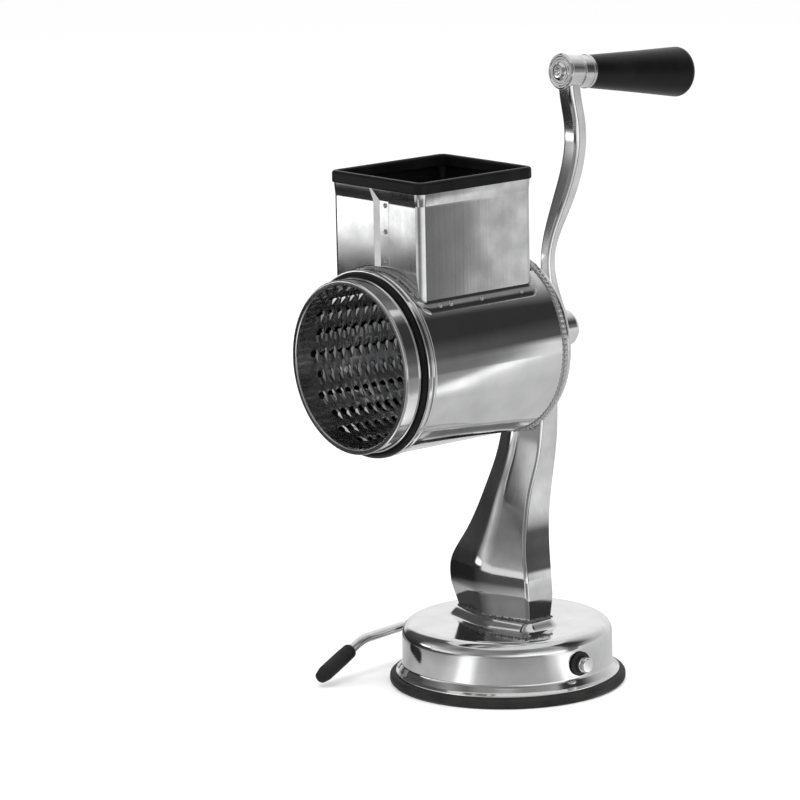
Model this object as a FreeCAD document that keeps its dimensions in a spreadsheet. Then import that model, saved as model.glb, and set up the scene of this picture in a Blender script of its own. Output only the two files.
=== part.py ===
# Rotary cabbage shredder, hand cranked, on a suction base.
# Frame: origin at the centre of the base underside, Z up, the open mouth of the barrel
# faces -Y, the crank is at +Y and the hopper sits on top of the barrel. Millimetres.

import math
import os

import FreeCAD
import Part
import Sketcher
from FreeCAD import Placement, Rotation, Vector

os.makedirs("parts", exist_ok=True)
doc = FreeCAD.newDocument("shredder")

# Driving dimensions

sizes = [
    # base
    ("base_wall_radius", 62.4), ("base_top", 36.8), ("base_sheet", 1.2), ("base_edge_radius", 8.0),
    ("seat_top", 41.7), ("seat_margin", 2.0), ("seat_slope", 1.2),
    ("flare_start", 12.0), ("lip_radius", 66.4), ("lip_bottom", 6.2),
    ("rubber_radius", 70.0), ("rubber_web_top", 3.2), ("rubber_web_bottom", 1.0), ("rubber_rim_inner", 56.0),
    ("disc_radius", 38.0), ("disc_gap", 0.4), ("disc_thick", 3.2),
    ("plate_radius", 33.0), ("plate_thick", 2.0),
    ("guide_bottom", 12.6), ("guide_thick", 1.5), ("guide_radius", 60.8), ("guide_gap", 0.3),
    # lever
    ("shaft_height", 21.0), ("shaft_radius", 4.5), ("shaft_near_end", 70.0), ("shaft_far_end", 66.0),
    ("bush_radius", 6.0), ("bush_flange_radius", 7.2), ("bush_flange", 1.5), ("bush_length", 6.0),
    ("running_gap", 0.06), ("cam_radius", 8.0), ("cam_offset", 1.75), ("cam_width", 7.0),
    ("window_gap", 0.22), ("window_front", 11.2), ("window_back", 7.0),
    ("yoke_thick", 8.0), ("yoke_front", 14.0), ("yoke_back", 10.0), ("yoke_top", 30.6),
    ("collar_radius", 6.6), ("collar_length", 5.0),
    ("rod_radius", 2.9), ("rod_corner_x", -79.5), ("rod_bend", 8.0), ("rod_turn_in", 9.6),
    ("rod_level", 53.4), ("rod_droop", 20.9), ("rod_droop_bend", 30.0), ("rod_drooped", 39.0),
    ("cap_radius", 4.75), ("cap_length", 32.0), ("cap_overhang", 5.0),
    # leg
    ("leg_sheet", 1.2), ("leg_ridge", 6.2), ("leg_corner", 2.4), ("leg_crest_half", 3.2), ("leg_top", 221.0),
    ("leg_top_radius", 16.7),
    ("foot_plate_half", 25.0), ("foot_plate_front", 9.0), ("foot_plate_back", 4.0), ("foot_plate_thick", 3.0),
    ("foot_bolt_x", 15.0), ("foot_bolt_y", -2.5), ("bolt_radius", 2.5), ("bolt_head_radius", 4.6),
    ("bolt_head", 3.4), ("nut_across", 8.0), ("nut_thick", 4.0),
    ("weld_width", 1.3), ("weld_height", 1.4), ("weld_behind", 1.7),
    # barrel
    ("axis_height", 205.5), ("barrel_length", 105.5), ("barrel_radius", 53.4), ("barrel_sheet", 0.8),
    ("mouth_rim_radius", 54.3), ("mouth_rim_width", 3.2), ("mouth_bead_radius", 54.1),
    ("ring_inner", 49.2), ("ring_front", 107.6), ("ring_back", 99.0), ("ring_gap", 0.3),
    ("cover_depth", 6.4), ("cover_radius", 53.2), ("cover_sheet", 1.2), ("cover_edge", 3.0),
    ("seam_radius", 55.1), ("seam_half_width", 1.9),
    ("housing_radius", 13.4), ("housing_bore", 11.6), ("housing_front", 1.5), ("housing_back", 30.5),
    ("housing_flange", 21.0), ("housing_fit", 0.2), ("axle_bush_length", 8.0), ("axle_bush_flange", 13.0),
    # hopper
    ("hopper_half_width", 38.0), ("hopper_front", -95.8), ("hopper_back", -10.4), ("hopper_sheet", 0.8),
    ("hopper_corner", 4.0), ("hopper_crease", 299.0), ("hopper_top", 309.5), ("hopper_flare", 0.7),
    ("trim_out", 1.7), ("trim_bottom", 306.0), ("trim_top", 312.8), ("trim_width", 3.9), ("trim_slot", 1.5),
    ("trim_slot_depth", 4.2), ("trim_round", 1.5),
    ("flange_half_width", 42.4), ("flange_over", 3.2), ("flange_sheet", 0.8),
    ("lap_left", -4.5), ("lap_right", 11.0), ("lap_sheet", 0.8), ("spot_radius", 1.5), ("spot_height", 0.5),
    # drum
    ("drum_front", 118.5), ("drum_radius", 47.8), ("drum_sheet", 0.8), ("drum_rim_radius", 50.6),
    ("drum_rim_width", 3.4), ("drum_back", 6.0), ("drum_seam_radius", 48.7), ("drum_seam_width", 3.0),
    ("disc_recess", 5.0), ("disc_step_radius", 33.0), ("disc_sheet", 1.0),
    ("hole_radius", 2.2), ("hole_pitch", 6.7), ("hole_first", 104.5), ("hole_rows", 14), ("hole_pairs", 12),
    ("axle_radius", 9.0), ("axle_shoulder", 34.4), ("stub_radius", 4.94), ("stub_length", 13.0),
    ("thread_pitch", 1.5), ("thread_depth", 0.6), ("axle_flange_radius", 13.0), ("axle_flange", 2.5),
    # crank
    ("hub_radius", 11.0), ("hub_front", 34.6), ("hub_back", 55.0), ("hub_bore", 5.0), ("hub_bore_end", 48.2),
    ("arm_half_width", 6.0), ("arm_half_thick", 4.5), ("arm_corner", 2.2),
    ("boss_y", 48.4), ("boss_rise", 152.9), ("boss_droop", 5.85), ("boss_radius", 10.7), ("boss_length", 12.6),
    ("pin_radius", 3.5), ("pin_gap", 0.06), ("pin_head_radius", 5.6), ("pin_head", 2.2), ("pin_length", 92.0),
    ("ferrule_start", 13.0), ("ferrule_end", 21.6), ("ferrule_small", 9.4), ("ferrule_large", 9.7),
    ("grip_end", 102.0), ("grip_small", 9.7), ("grip_large", 15.0), ("grip_widest", 96.5),
]

# Leg outline at even steps from foot to top: half width, front face, back edge
leg_outline = [
    (30.6, -11.0, 6.6), (33.9, -14.4, 5.8), (32.9, -14.6, 5.6), (26.5, -9.6, 10.5), (21.9, -3.6, 15.0),
    (19.2, 2.2, 19.6), (18.1, 8.8, 23.4), (17.3, 13.0, 26.4), (16.8, 15.2, 27.6), (16.6, 15.8, 28.0),
    (16.6, 15.8, 28.0), (16.6, 15.8, 28.0), (16.6, 15.8, 28.0),
]
for step, (half, front, back) in enumerate(leg_outline):
    sizes += [("leg_half_%02d" % step, half), ("leg_front_%02d" % step, front), ("leg_back_%02d" % step, back)]

# Crank arm centre line in the plane X = 0: distance back, rise above the axis
arm_points = [("a", 43.0, 4.0), ("b", 37.6, 30.0), ("c", 37.2, 46.0), ("d", 46.6, 70.5),
              ("e", 56.6, 93.0), ("f", 60.2, 110.5), ("g", 59.4, 124.0), ("i", 56.6, 138.0), ("j", 55.4, 149.0)]
for tag, back, rise in arm_points:
    sizes += [("arm_" + tag + "_back", back), ("arm_" + tag + "_rise", rise)]

sheet = doc.addObject("Spreadsheet::Sheet", "dims")
for row, (name, value) in enumerate(sizes, start=1):
    sheet.set("A%d" % row, name)
    sheet.set("B%d" % row, str(value))
    sheet.setAlias("B%d" % row, name)
doc.recompute()


class Size:
    """A length that knows its value and the sheet expression it comes from."""

    def __init__(self, value, text):
        self.value, self.text = value, text

    def joined(self, other, sign, value):
        return Size(value, "(%s %s %s)" % (self.text, sign, textOf(other)))

    def __add__(self, other):
        return self.joined(other, "+", self.value + valueOf(other))

    def __sub__(self, other):
        return self.joined(other, "-", self.value - valueOf(other))

    def __mul__(self, other):
        return self.joined(other, "*", self.value * valueOf(other))

    def __truediv__(self, other):
        return self.joined(other, "/", self.value / valueOf(other))

    def __neg__(self):
        return Size(-self.value, "(0 - %s)" % self.text)


def valueOf(size):
    return size.value if isinstance(size, Size) else float(size)


def textOf(size):
    return size.text if isinstance(size, Size) else repr(size)


def get(name):
    return Size(float(sheet.get(name)), "dims." + name)


def bind(obj, prop, size):
    setattr(obj, prop, valueOf(size))
    if isinstance(size, Size):
        obj.setExpression(prop, size.text)


# Helpers for bodies, sketches and features

def newBody(label, y=0, z=0):
    body = doc.addObject("PartDesign::Body", label)
    body.Label = label
    body.Placement = Placement(Vector(0, valueOf(y), valueOf(z)), Rotation())
    for axis, size in (("y", y), ("z", z)):
        if isinstance(size, Size):
            body.setExpression(".Placement.Base." + axis, size.text)
    return body


def newSketch(body, role, height=0, name="Sketch"):
    sketch = body.newObject("Sketcher::SketchObject", name)
    plane = [f for f in body.Origin.OriginFeatures if f.Role == role][0]
    sketch.AttachmentSupport = [(plane, "")]
    sketch.MapMode = "FlatFace"
    if valueOf(height):
        sketch.AttachmentOffset = Placement(Vector(0, 0, valueOf(height)), Rotation())
        if isinstance(height, Size):
            sketch.setExpression(".AttachmentOffset.Base.z", height.text)
    return sketch


def pin(sketch, geometry, end, point):
    """Holds one end of a line at a point given by two sizes."""
    for kind, size in (("DistanceX", point[0]), ("DistanceY", point[1])):
        index = sketch.addConstraint(Sketcher.Constraint(kind, -1, 1, geometry, end, valueOf(size)))
        if isinstance(size, Size):
            sketch.setExpression("Constraints[%d]" % index, size.text)


def polygon(sketch, points):
    """A closed outline of straight lines with every corner held by the sheet."""
    corners = [Vector(valueOf(u), valueOf(v), 0) for u, v in points]
    lines = [sketch.addGeometry(Part.LineSegment(a, b), False)
             for a, b in zip(corners, corners[1:] + corners[:1])]
    for line, following in zip(lines, lines[1:] + lines[:1]):
        sketch.addConstraint(Sketcher.Constraint("Coincident", line, 2, following, 1))
    for line, point in zip(lines, points):
        pin(sketch, line, 1, point)
    return lines


def box(sketch, left, right, low, high):
    return polygon(sketch, [(left, low), (right, low), (right, high), (left, high)])


def circle(sketch, u, v, radius):
    centre = Vector(valueOf(u), valueOf(v), 0)
    index = sketch.addGeometry(Part.Circle(centre, Vector(0, 0, 1), valueOf(radius)), False)
    pin(sketch, index, 3, (u, v))
    held = sketch.addConstraint(Sketcher.Constraint("Radius", index, valueOf(radius)))
    if isinstance(radius, Size):
        sketch.setExpression("Constraints[%d]" % held, radius.text)
    return index


def revolve(body, sketch, axis, kind="PartDesign::Revolution"):
    turned = body.newObject(kind, kind.split("::")[1])
    turned.Profile = sketch
    turned.ReferenceAxis = (sketch, [axis])
    turned.Angle = 360
    sketch.Visibility = False
    body.Tip = turned
    return turned


def pad(body, sketch, length, both=False, reverse=False):
    raised = body.newObject("PartDesign::Pad", "Pad")
    raised.Profile = sketch
    bind(raised, "Length", length)
    raised.Midplane = both
    raised.Reversed = reverse
    body.Tip = raised
    return raised


def pocket(body, sketch, length=None, both=False, reverse=False):
    """Cuts and makes sure that material went."""
    doc.recompute()
    before = body.Shape.Volume
    cut = body.newObject("PartDesign::Pocket", "Pocket")
    cut.Profile = sketch
    if length is None:
        cut.Type = "ThroughAll"
    else:
        bind(cut, "Length", length)
    cut.Midplane = both
    cut.Reversed = reverse
    body.Tip = cut
    doc.recompute()
    if body.Shape.Volume > before - 1e-6:
        raise ValueError("a pocket in %s cuts nothing" % body.Label)
    return cut


def rings(shape, axis, spots):
    """Names of the circular edges about an axis at the given (position, radius) spots."""
    names = []
    for number, edge in enumerate(shape.Edges, start=1):
        curve = edge.Curve
        if not isinstance(curve, Part.Circle):
            continue
        for position, radius in spots:
            at = curve.Center.y if axis == "y" else curve.Center.z
            if abs(at - valueOf(position)) < 1e-3 and abs(curve.Radius - valueOf(radius)) < 1e-3:
                names.append("Edge%d" % number)
    return names


def roundRings(body, axis, spots, radius):
    doc.recompute()
    base = body.Tip
    names = rings(base.Shape, axis, spots)
    if not names:
        raise ValueError("no edge to round in " + body.Label)
    rounded = body.newObject("PartDesign::Fillet", "Fillet")
    rounded.Base = (base, names)
    bind(rounded, "Radius", radius)
    body.Tip = rounded
    doc.recompute()
    return rounded


def turned(label, points, axis="y", height=0, back=0):
    """A body of revolution; points are (along the axis, radius) for y, (radius, height) for z."""
    body = newBody(label, back, height)
    sketch = newSketch(body, "YZ_Plane" if axis == "y" else "XZ_Plane")
    polygon(sketch, points)
    revolve(body, sketch, "H_Axis" if axis == "y" else "V_Axis")
    return body


axisHeight = get("axis_height")


# Base shell: pressed cup with a raised seat for the leg and a flared lower lip

def seatLoft(body, kind, low, high):
    """Follows the foot of the leg; low and high are (height, distance outside the foot)."""
    _, half, front, back = legStations()[0]
    sketches = []
    for height, outside in (low, high):
        sketch = newSketch(body, "XY_Plane", height)
        for curve in legOutline(valueOf(half), valueOf(front), valueOf(back), -outside, outside):
            sketch.addGeometry(curve, False)
        sketches.append(sketch)
    loft = body.newObject(kind, "Seat")
    loft.Profile = sketches[0]
    loft.Sections = sketches[1:]
    body.Tip = loft
    doc.recompute()


def makeBaseShell():
    wall, skin, top = get("base_wall_radius"), get("base_sheet"), get("base_top")
    lip, low, flare = get("lip_radius"), get("lip_bottom"), get("flare_start")
    body = turned("base_shell", [
        (0, top - skin), (wall - skin, top - skin),
        (wall - skin, flare + 0.5), (wall + 0.7, flare - 2.6), (lip - skin - 0.2, low), (lip, low), (lip, low + 0.9),
        (wall + 1.6, flare - 2.2), (wall, flare), (wall, top), (0, top)], "z")
    edge = get("base_edge_radius")
    roundRings(body, "z", [(top, wall)], edge)
    roundRings(body, "z", [(top - skin, wall - skin)], edge - skin)
    high, thick = get("seat_top"), valueOf(skin)
    margin, slope = valueOf(get("seat_margin")), valueOf(get("seat_slope"))
    seatLoft(body, "PartDesign::AdditiveLoft", (top - skin, margin + slope), (high, margin))
    seatLoft(body, "PartDesign::SubtractiveLoft", (top - skin - 1, margin + slope - thick), (high - skin, margin - thick))
    shaft = newSketch(body, "YZ_Plane")
    circle(shaft, 0, get("shaft_height"), get("bush_radius") + 0.05)
    pocket(body, shaft, wall * 3, both=True)
    bolts = newSketch(body, "XY_Plane")
    for side in (-1, 1):
        circle(bolts, get("foot_bolt_x") * side, get("foot_bolt_y"), get("bolt_radius") + 0.2)
    pocket(body, bolts, get("seat_top") + 5, reverse=True)
    return body


# Suction pad: rubber rim with a thin web, and the moving centre disc under its steel plate

def makeSuctionRing():
    edge, low = get("rubber_radius"), get("lip_bottom")
    rim, hole = get("rubber_rim_inner"), get("disc_radius") + get("disc_gap")
    under, over = get("rubber_web_bottom"), get("rubber_web_top")
    body = turned("suction_ring", [
        (hole, under), (rim, under), (rim + 1.2, 0), (edge - 1.4, 0), (edge, 1.6), (edge, low - 1.6),
        (edge - 1.5, low - 0.3), (edge - 2.6, low), (rim + 2, low), (rim - 2, over), (hole, over)], "z")
    roundRings(body, "z", [(low - 1.6, edge), (1.6, edge)], 1.0)
    return body


def makeSuctionDisc():
    radius, thick = get("disc_radius"), get("disc_thick")
    return turned("suction_disc", [(0, 0), (radius - 1.2, 0), (radius, 1), (radius, thick), (0, thick)], "z")


def makePadPlate():
    low = get("disc_thick")
    body = turned("pad_plate", [(0, low), (get("plate_radius"), low),
                                (get("plate_radius"), low + get("plate_thick")), (0, low + get("plate_thick"))], "z")
    roundRings(body, "z", [(low + get("plate_thick"), get("plate_radius"))], 0.8)
    return body


def makeLiftYoke():
    body = newBody("lift_yoke")
    low = get("disc_thick") + get("plate_thick")
    centre = get("shaft_height") - get("cam_offset")
    reach = get("cam_radius") + get("window_gap")
    outline = newSketch(body, "YZ_Plane")
    box(outline, -get("yoke_front"), get("yoke_back"), low, get("yoke_top"))
    box(outline, -get("window_front"), get("window_back"), centre - reach, centre + reach)
    pad(body, outline, get("yoke_thick"), both=True)
    return body


def makeGuidePlate():
    body = newBody("guide_plate")
    low, gap = get("guide_bottom"), get("guide_gap")
    outline = newSketch(body, "XY_Plane", low)
    circle(outline, 0, 0, get("guide_radius"))
    side = get("yoke_thick") / 2 + gap
    box(outline, -side, side, -get("yoke_front") - gap, get("yoke_back") + gap)
    pad(body, outline, get("guide_thick"))
    vents = newSketch(body, "XY_Plane", low)
    circle(vents, 38, 0, 8)
    circle(vents, -38, 0, 8)
    pocket(body, vents, get("guide_thick") * 2, reverse=True)
    return body


# Lever: cross shaft with its cam and collars, bent rod and rubber cap

def makeShaftBushes():
    wall, flange, gap = get("base_wall_radius"), get("bush_flange"), get("running_gap")
    bore = get("shaft_radius") + gap
    body = newBody("shaft_bush_near")
    body.Visibility = False
    sketch = newSketch(body, "XY_Plane")
    polygon(sketch, [
        (wall - get("bush_length"), bore), (wall + flange + 0.2, bore),
        (wall + flange + 0.2, get("bush_flange_radius") - 0.4), (wall + flange - 0.2, get("bush_flange_radius")),
        (wall + 0.3, get("bush_flange_radius")), (wall + 0.3, get("bush_radius")),
        (wall - get("bush_length"), get("bush_radius"))])
    revolve(body, sketch, "H_Axis")
    doc.recompute()
    body.Placement = Placement(Vector(0, 0, valueOf(get("shaft_height"))), Rotation())
    body.setExpression(".Placement.Base.z", get("shaft_height").text)
    far = doc.addObject("Part::Mirroring", "shaft_bush_far")
    far.Source = body
    far.Normal = Vector(1, 0, 0)
    pair = doc.addObject("Part::Compound", "shaft_bushes")
    pair.Links = [body, far]
    pair.Label = "shaft_bushes"
    return pair


def makeCrossShaft():
    body = newBody("cross_shaft", 0, get("shaft_height"))
    near, far, radius = get("shaft_near_end"), get("shaft_far_end"), get("shaft_radius")
    sketch = newSketch(body, "XY_Plane")
    polygon(sketch, [
        (-far, 0), (-far, radius - 0.5), (-far + 0.5, radius), (near - 3.2, radius), (near - 2.9, radius - 0.5),
        (near - 2.3, radius - 0.5), (near - 2.0, radius), (near - 0.8, radius), (near, radius - 0.8), (near, 0)])
    revolve(body, sketch, "H_Axis")
    return body


def makeLiftCam():
    offset = get("cam_offset")
    body = newBody("lift_cam", 0, get("shaft_height"))
    sketch = newSketch(body, "YZ_Plane")
    circle(sketch, -offset, -offset, get("cam_radius"))
    circle(sketch, 0, 0, get("shaft_radius"))
    pad(body, sketch, get("cam_width"), both=True)
    return body


def makeShaftCollars():
    inside = get("base_wall_radius") - get("bush_length") - 0.4
    pieces = []
    for name, start in (("near", inside - get("collar_length")), ("far", -inside)):
        ring = doc.addObject("Part::Cylinder", "shaft_collar_" + name)
        bore = doc.addObject("Part::Cylinder", "shaft_collar_bore_" + name)
        for tube, radius in ((ring, get("collar_radius")), (bore, get("shaft_radius"))):
            bind(tube, "Radius", radius)
            bind(tube, "Height", get("collar_length"))
            tube.Placement = Placement(Vector(valueOf(start), 0, valueOf(get("shaft_height"))),
                                       Rotation(Vector(0, 1, 0), 90))
            tube.setExpression(".Placement.Base.x", start.text)
            tube.setExpression(".Placement.Base.z", get("shaft_height").text)
        cut = doc.addObject("Part::Cut", "shaft_collar_cut_" + name)
        cut.Base, cut.Tool = ring, bore
        pieces.append(cut)
    pair = doc.addObject("Part::Compound", "shaft_collars")
    pair.Links = pieces
    pair.Label = "shaft_collars"
    return pair


def rodLine():
    """Corner points of the rod's centre line, from the shaft end to the tip."""
    level = valueOf(get("shaft_height"))
    turn, droop = math.radians(valueOf(get("rod_turn_in"))), math.radians(valueOf(get("rod_droop")))
    along = Vector(math.sin(turn), -math.cos(turn), 0)
    down = along * math.cos(droop) + Vector(0, 0, -math.sin(droop))
    start = Vector(-valueOf(get("shaft_far_end")), 0, level)
    corner = Vector(valueOf(get("rod_corner_x")), 0, level)
    knee = corner + along * valueOf(get("rod_level"))
    tip = knee + down * valueOf(get("rod_drooped"))
    return start, corner, knee, tip, down


def roundedPath(points, radii):
    """A wire of straight lines joined by tangent arcs at the inner points."""
    edges, last = [], points[0]
    for before, corner, after, radius in zip(points, points[1:], points[2:], radii):
        into, away = (before - corner).normalize(), (after - corner).normalize()
        half = into.getAngle(away) / 2
        reach = radius / math.tan(half)
        first, second = corner + into * reach, corner + away * reach
        bisector = (into + away).normalize()
        middle = corner + bisector * (radius / math.sin(half) - radius)
        edges += [Part.LineSegment(last, first).toShape(), Part.Arc(first, middle, second).toShape()]
        last = second
    edges.append(Part.LineSegment(last, points[-1]).toShape())
    return Part.Wire(edges)


def makeLeverRod():
    start, corner, knee, tip, down = rodLine()
    path = roundedPath([start, corner, knee, tip], [valueOf(get("rod_bend")), valueOf(get("rod_droop_bend"))])
    section = Part.Wire(Part.Circle(start, Vector(1, 0, 0), valueOf(get("rod_radius"))).toShape())
    rod = doc.addObject("Part::Feature", "lever_rod")
    rod.Shape = path.makePipeShell([section], True, False)
    rod.Label = "lever_rod"
    return rod


def makeLeverCap():
    start, corner, knee, tip, down = rodLine()
    body = newBody("lever_cap")
    long, wide = get("cap_length"), get("cap_radius")
    fit, over = get("rod_radius"), get("cap_overhang")
    sketch = newSketch(body, "YZ_Plane")
    polygon(sketch, [
        (-long, fit), (-long, wide - 0.8), (-long + 0.8, wide), (-wide * 0.75, wide), (-wide * 0.28, wide * 0.72),
        (0, wide * 0.25), (0, 0), (-over, 0), (-over, fit)])
    revolve(body, sketch, "H_Axis")
    roundRings(body, "y", [(-wide * 0.75, wide), (-wide * 0.28, wide * 0.72)], 1.5)
    body.Placement = Placement(tip + down * valueOf(over), Rotation(Vector(0, 1, 0), down))
    return body


# Leg: pressed channel with a raised ridge down its front, closed by a back sheet

def legOutline(half, front, back, inset=0.0, openBack=0.0):
    """One cross section as edges: back corners, rounded front corners and a rounded crest."""
    ridge, corner, crest = (valueOf(get(n)) for n in ("leg_ridge", "leg_corner", "leg_crest_half"))
    w, f, b = half - inset, front + inset, back + openBack
    c = max(corner - inset, 0.8)
    bend = c * (1 - math.sqrt(0.5))
    tip = f - ridge
    flat = tip + crest * 0.28
    points = [Vector(-w, b, 0), Vector(-w, f + c, 0), Vector(-w + bend, f + bend - 0.3, 0), Vector(-w + c, f - 0.35, 0),
              Vector(-crest, flat, 0), Vector(0, tip, 0), Vector(crest, flat, 0),
              Vector(w - c, f - 0.35, 0), Vector(w - bend, f + bend - 0.3, 0), Vector(w, f + c, 0), Vector(w, b, 0)]
    p = points
    return [Part.LineSegment(p[0], p[1]), Part.Arc(p[1], p[2], p[3]), Part.LineSegment(p[3], p[4]),
            Part.Arc(p[4], p[5], p[6]), Part.LineSegment(p[6], p[7]), Part.Arc(p[7], p[8], p[9]),
            Part.LineSegment(p[9], p[10]), Part.LineSegment(p[10], p[0])]


def legStations():
    """Height, half width, front and back of every section, evenly spaced up the leg."""
    steps = len(leg_outline) - 1
    rise = (get("leg_top") - get("seat_top")) / steps
    return [[get("seat_top") + rise * step] + [get("leg_%s_%02d" % (name, step))
                                                  for name in ("half", "front", "back")]
            for step in range(steps + 1)]


def loftLeg(body, kind, inset, openBack):
    sketches = []
    for height, half, front, back in legStations():
        sketch = newSketch(body, "XY_Plane", height)
        for curve in legOutline(valueOf(half), valueOf(front), valueOf(back), inset, openBack):
            sketch.addGeometry(curve, False)
        sketches.append(sketch)
    loft = body.newObject(kind, "Loft")
    loft.Profile = sketches[0]
    loft.Sections = sketches[1:]
    loft.Ruled = False
    body.Tip = loft
    return loft


def legTopCut(body):
    """Rounds the top about the axle and bores the housing hole."""
    cut = newSketch(body, "XZ_Plane")
    centre, high = valueOf(axisHeight), valueOf(get("leg_top")) + 5
    bend, rise = valueOf(get("leg_top_radius")), valueOf(get("leg_top") - axisHeight) - 0.2
    clear = valueOf(get("leg_half_12")) + 12
    cut.addGeometry(Part.Arc(Vector(-bend, centre, 0), Vector(0, centre + rise, 0), Vector(bend, centre, 0)), False)
    outside = [Vector(bend, centre, 0), Vector(clear, centre, 0), Vector(clear, high, 0), Vector(-clear, high, 0),
               Vector(-clear, centre, 0), Vector(-bend, centre, 0)]
    for first, second in zip(outside, outside[1:]):
        cut.addGeometry(Part.LineSegment(first, second), False)
    pocket(body, cut, 200, both=True)
    hole = newSketch(body, "XZ_Plane")
    circle(hole, 0, axisHeight, get("housing_radius") + get("housing_fit"))
    pocket(body, hole, 200, both=True)


def makeLegFront():
    body = newBody("leg_front")
    skin = valueOf(get("leg_sheet"))
    loftLeg(body, "PartDesign::AdditiveLoft", 0.0, 0.0)
    doc.recompute()
    loftLeg(body, "PartDesign::SubtractiveLoft", skin, 6.0)
    doc.recompute()
    legTopCut(body)
    return body


def makeLegBack():
    """Sheet set just inside the back edges of the channel."""
    body = newBody("leg_back")
    skin, gap = valueOf(get("leg_sheet")), 0.1
    sketches = []
    for height, half, front, back in legStations():
        sketch = newSketch(body, "XY_Plane", height)
        w = valueOf(half) - skin - gap
        b = valueOf(back) - 0.6
        points = [Vector(-w, b - skin, 0), Vector(w, b - skin, 0), Vector(w, b, 0), Vector(-w, b, 0)]
        for first, second in zip(points, points[1:] + points[:1]):
            sketch.addGeometry(Part.LineSegment(first, second), False)
        sketches.append(sketch)
    loft = body.newObject("PartDesign::AdditiveLoft", "Loft")
    loft.Profile = sketches[0]
    loft.Sections = sketches[1:]
    body.Tip = loft
    doc.recompute()
    legTopCut(body)
    return body


def makeFootWeld():
    body = newBody("foot_weld")
    height, half, front, back = legStations()[0]
    sketch = newSketch(body, "XY_Plane", height)
    width, behind = valueOf(get("weld_width")), valueOf(get("weld_behind"))
    for inset, opened in ((-width, behind + 1), (-0.4, behind)):
        for curve in legOutline(valueOf(half), valueOf(front), valueOf(back), inset, opened):
            sketch.addGeometry(curve, False)
    pad(body, sketch, get("weld_height"))
    return body


def makeFootPlate():
    body = newBody("foot_plate")
    sketch = newSketch(body, "XY_Plane", get("seat_top"))
    half = get("foot_plate_half")
    box(sketch, -half, half, -get("foot_plate_front"), get("foot_plate_back"))
    for side in (-1, 1):
        circle(sketch, get("foot_bolt_x") * side, get("foot_bolt_y"), get("bolt_radius") + 0.2)
    pad(body, sketch, get("foot_plate_thick"))
    return body


def bothSides(label, shape):
    """Two copies of one small solid, mirrored about the middle plane."""
    other = doc.addObject("Part::Mirroring", label + "_far")
    other.Source = shape
    other.Normal = Vector(1, 0, 0)
    pair = doc.addObject("Part::Compound", label)
    pair.Links = [shape, other]
    pair.Label = label
    return pair


def makeFootBolts():
    body = newBody("foot_bolt_near")
    under = get("seat_top") - get("base_sheet")
    head, thick, shank = get("bolt_head_radius"), get("bolt_head"), get("bolt_radius")
    top = get("seat_top") + get("foot_plate_thick") + get("nut_thick") + 1.5
    sketch = newSketch(body, "XZ_Plane")
    polygon(sketch, [(0, under - thick), (head - 1.2, under - thick), (head, under - thick + 1.2), (head, under),
                     (shank, under), (shank, top - 0.5), (shank - 0.5, top), (0, top)])
    revolve(body, sketch, "V_Axis")
    body.Placement.Base = Vector(valueOf(get("foot_bolt_x")), valueOf(get("foot_bolt_y")), 0)
    return bothSides("foot_bolts", body)


def makeFootNuts():
    body = newBody("foot_nut_near")
    sketch = newSketch(body, "XY_Plane", get("seat_top") + get("foot_plate_thick"))
    corner = get("nut_across") / (2 * math.cos(math.pi / 6))
    polygon(sketch, [(corner * round(math.cos(math.pi * k / 3), 9), corner * round(math.sin(math.pi * k / 3), 9))
                     for k in range(6)])
    circle(sketch, 0, 0, get("bolt_radius"))
    pad(body, sketch, get("nut_thick"))
    body.Placement.Base = Vector(valueOf(get("foot_bolt_x")), valueOf(get("foot_bolt_y")), 0)
    return bothSides("foot_nuts", body)


# Barrel: rolled sheet tube with a rim and bead at the mouth and the hopper opening on top

def makeBarrel():
    long, radius, skin = get("barrel_length"), get("barrel_radius"), get("barrel_sheet")
    rim, width, bead = get("mouth_rim_radius"), get("mouth_rim_width"), get("mouth_bead_radius")
    body = turned("barrel", [
        (-long, radius - skin), (-long, rim - 0.4), (-long + 0.5, rim), (-long + width - 0.4, rim),
        (-long + width + 0.1, radius + 0.1), (-long + width + 0.5, radius + 0.1), (-long + width + 1.1, bead),
        (-long + width + 2.2, bead), (-long + width + 3.1, radius), (0, radius), (0, radius - skin)], "y", axisHeight)
    hole = newSketch(body, "XY_Plane")
    box(hole, -get("hopper_half_width") + 2.5, get("hopper_half_width") - 2.5,
        get("hopper_front") + 2.5, get("hopper_back") - 2.5)
    pocket(body, hole, radius + 10, reverse=True)
    return body


def makeMouthRing():
    inner, front, back = get("ring_inner"), get("ring_front"), get("ring_back")
    outer = get("barrel_radius") - get("barrel_sheet") - get("ring_gap")
    long = get("barrel_length")
    body = turned("mouth_ring", [
        (-front, inner + 0.8), (-front + 0.8, inner), (-back, inner), (-back, outer), (-long - 0.2, outer),
        (-long - 0.2, outer + 0.6), (-front + 1.0, outer + 0.6), (-front, outer - 0.6)], "y", axisHeight)
    return body


def makeRearCover():
    deep, radius, skin = get("cover_depth"), get("cover_radius"), get("cover_sheet")
    hole = get("housing_radius") + get("housing_fit")
    body = turned("rear_cover", [
        (0.4, radius - skin), (0.4, radius), (deep, radius), (deep, hole), (deep - skin, hole),
        (deep - skin, radius - skin)], "y", axisHeight)
    roundRings(body, "y", [(deep, radius)], get("cover_edge"))
    roundRings(body, "y", [(deep - skin, radius - skin)], get("cover_edge") - skin)
    return body


def makeRearSeam():
    half, outer, inner = get("seam_half_width"), get("seam_radius"), get("barrel_radius")
    body = turned("rear_seam", [
        (-half, inner + 0.05), (-half, outer - 0.6), (-half + 0.6, outer), (-0.5, outer), (0, outer - 0.7),
        (0.5, outer), (half - 0.6, outer), (half, outer - 0.6), (half, inner + 0.05)], "y", axisHeight)
    return body


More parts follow.
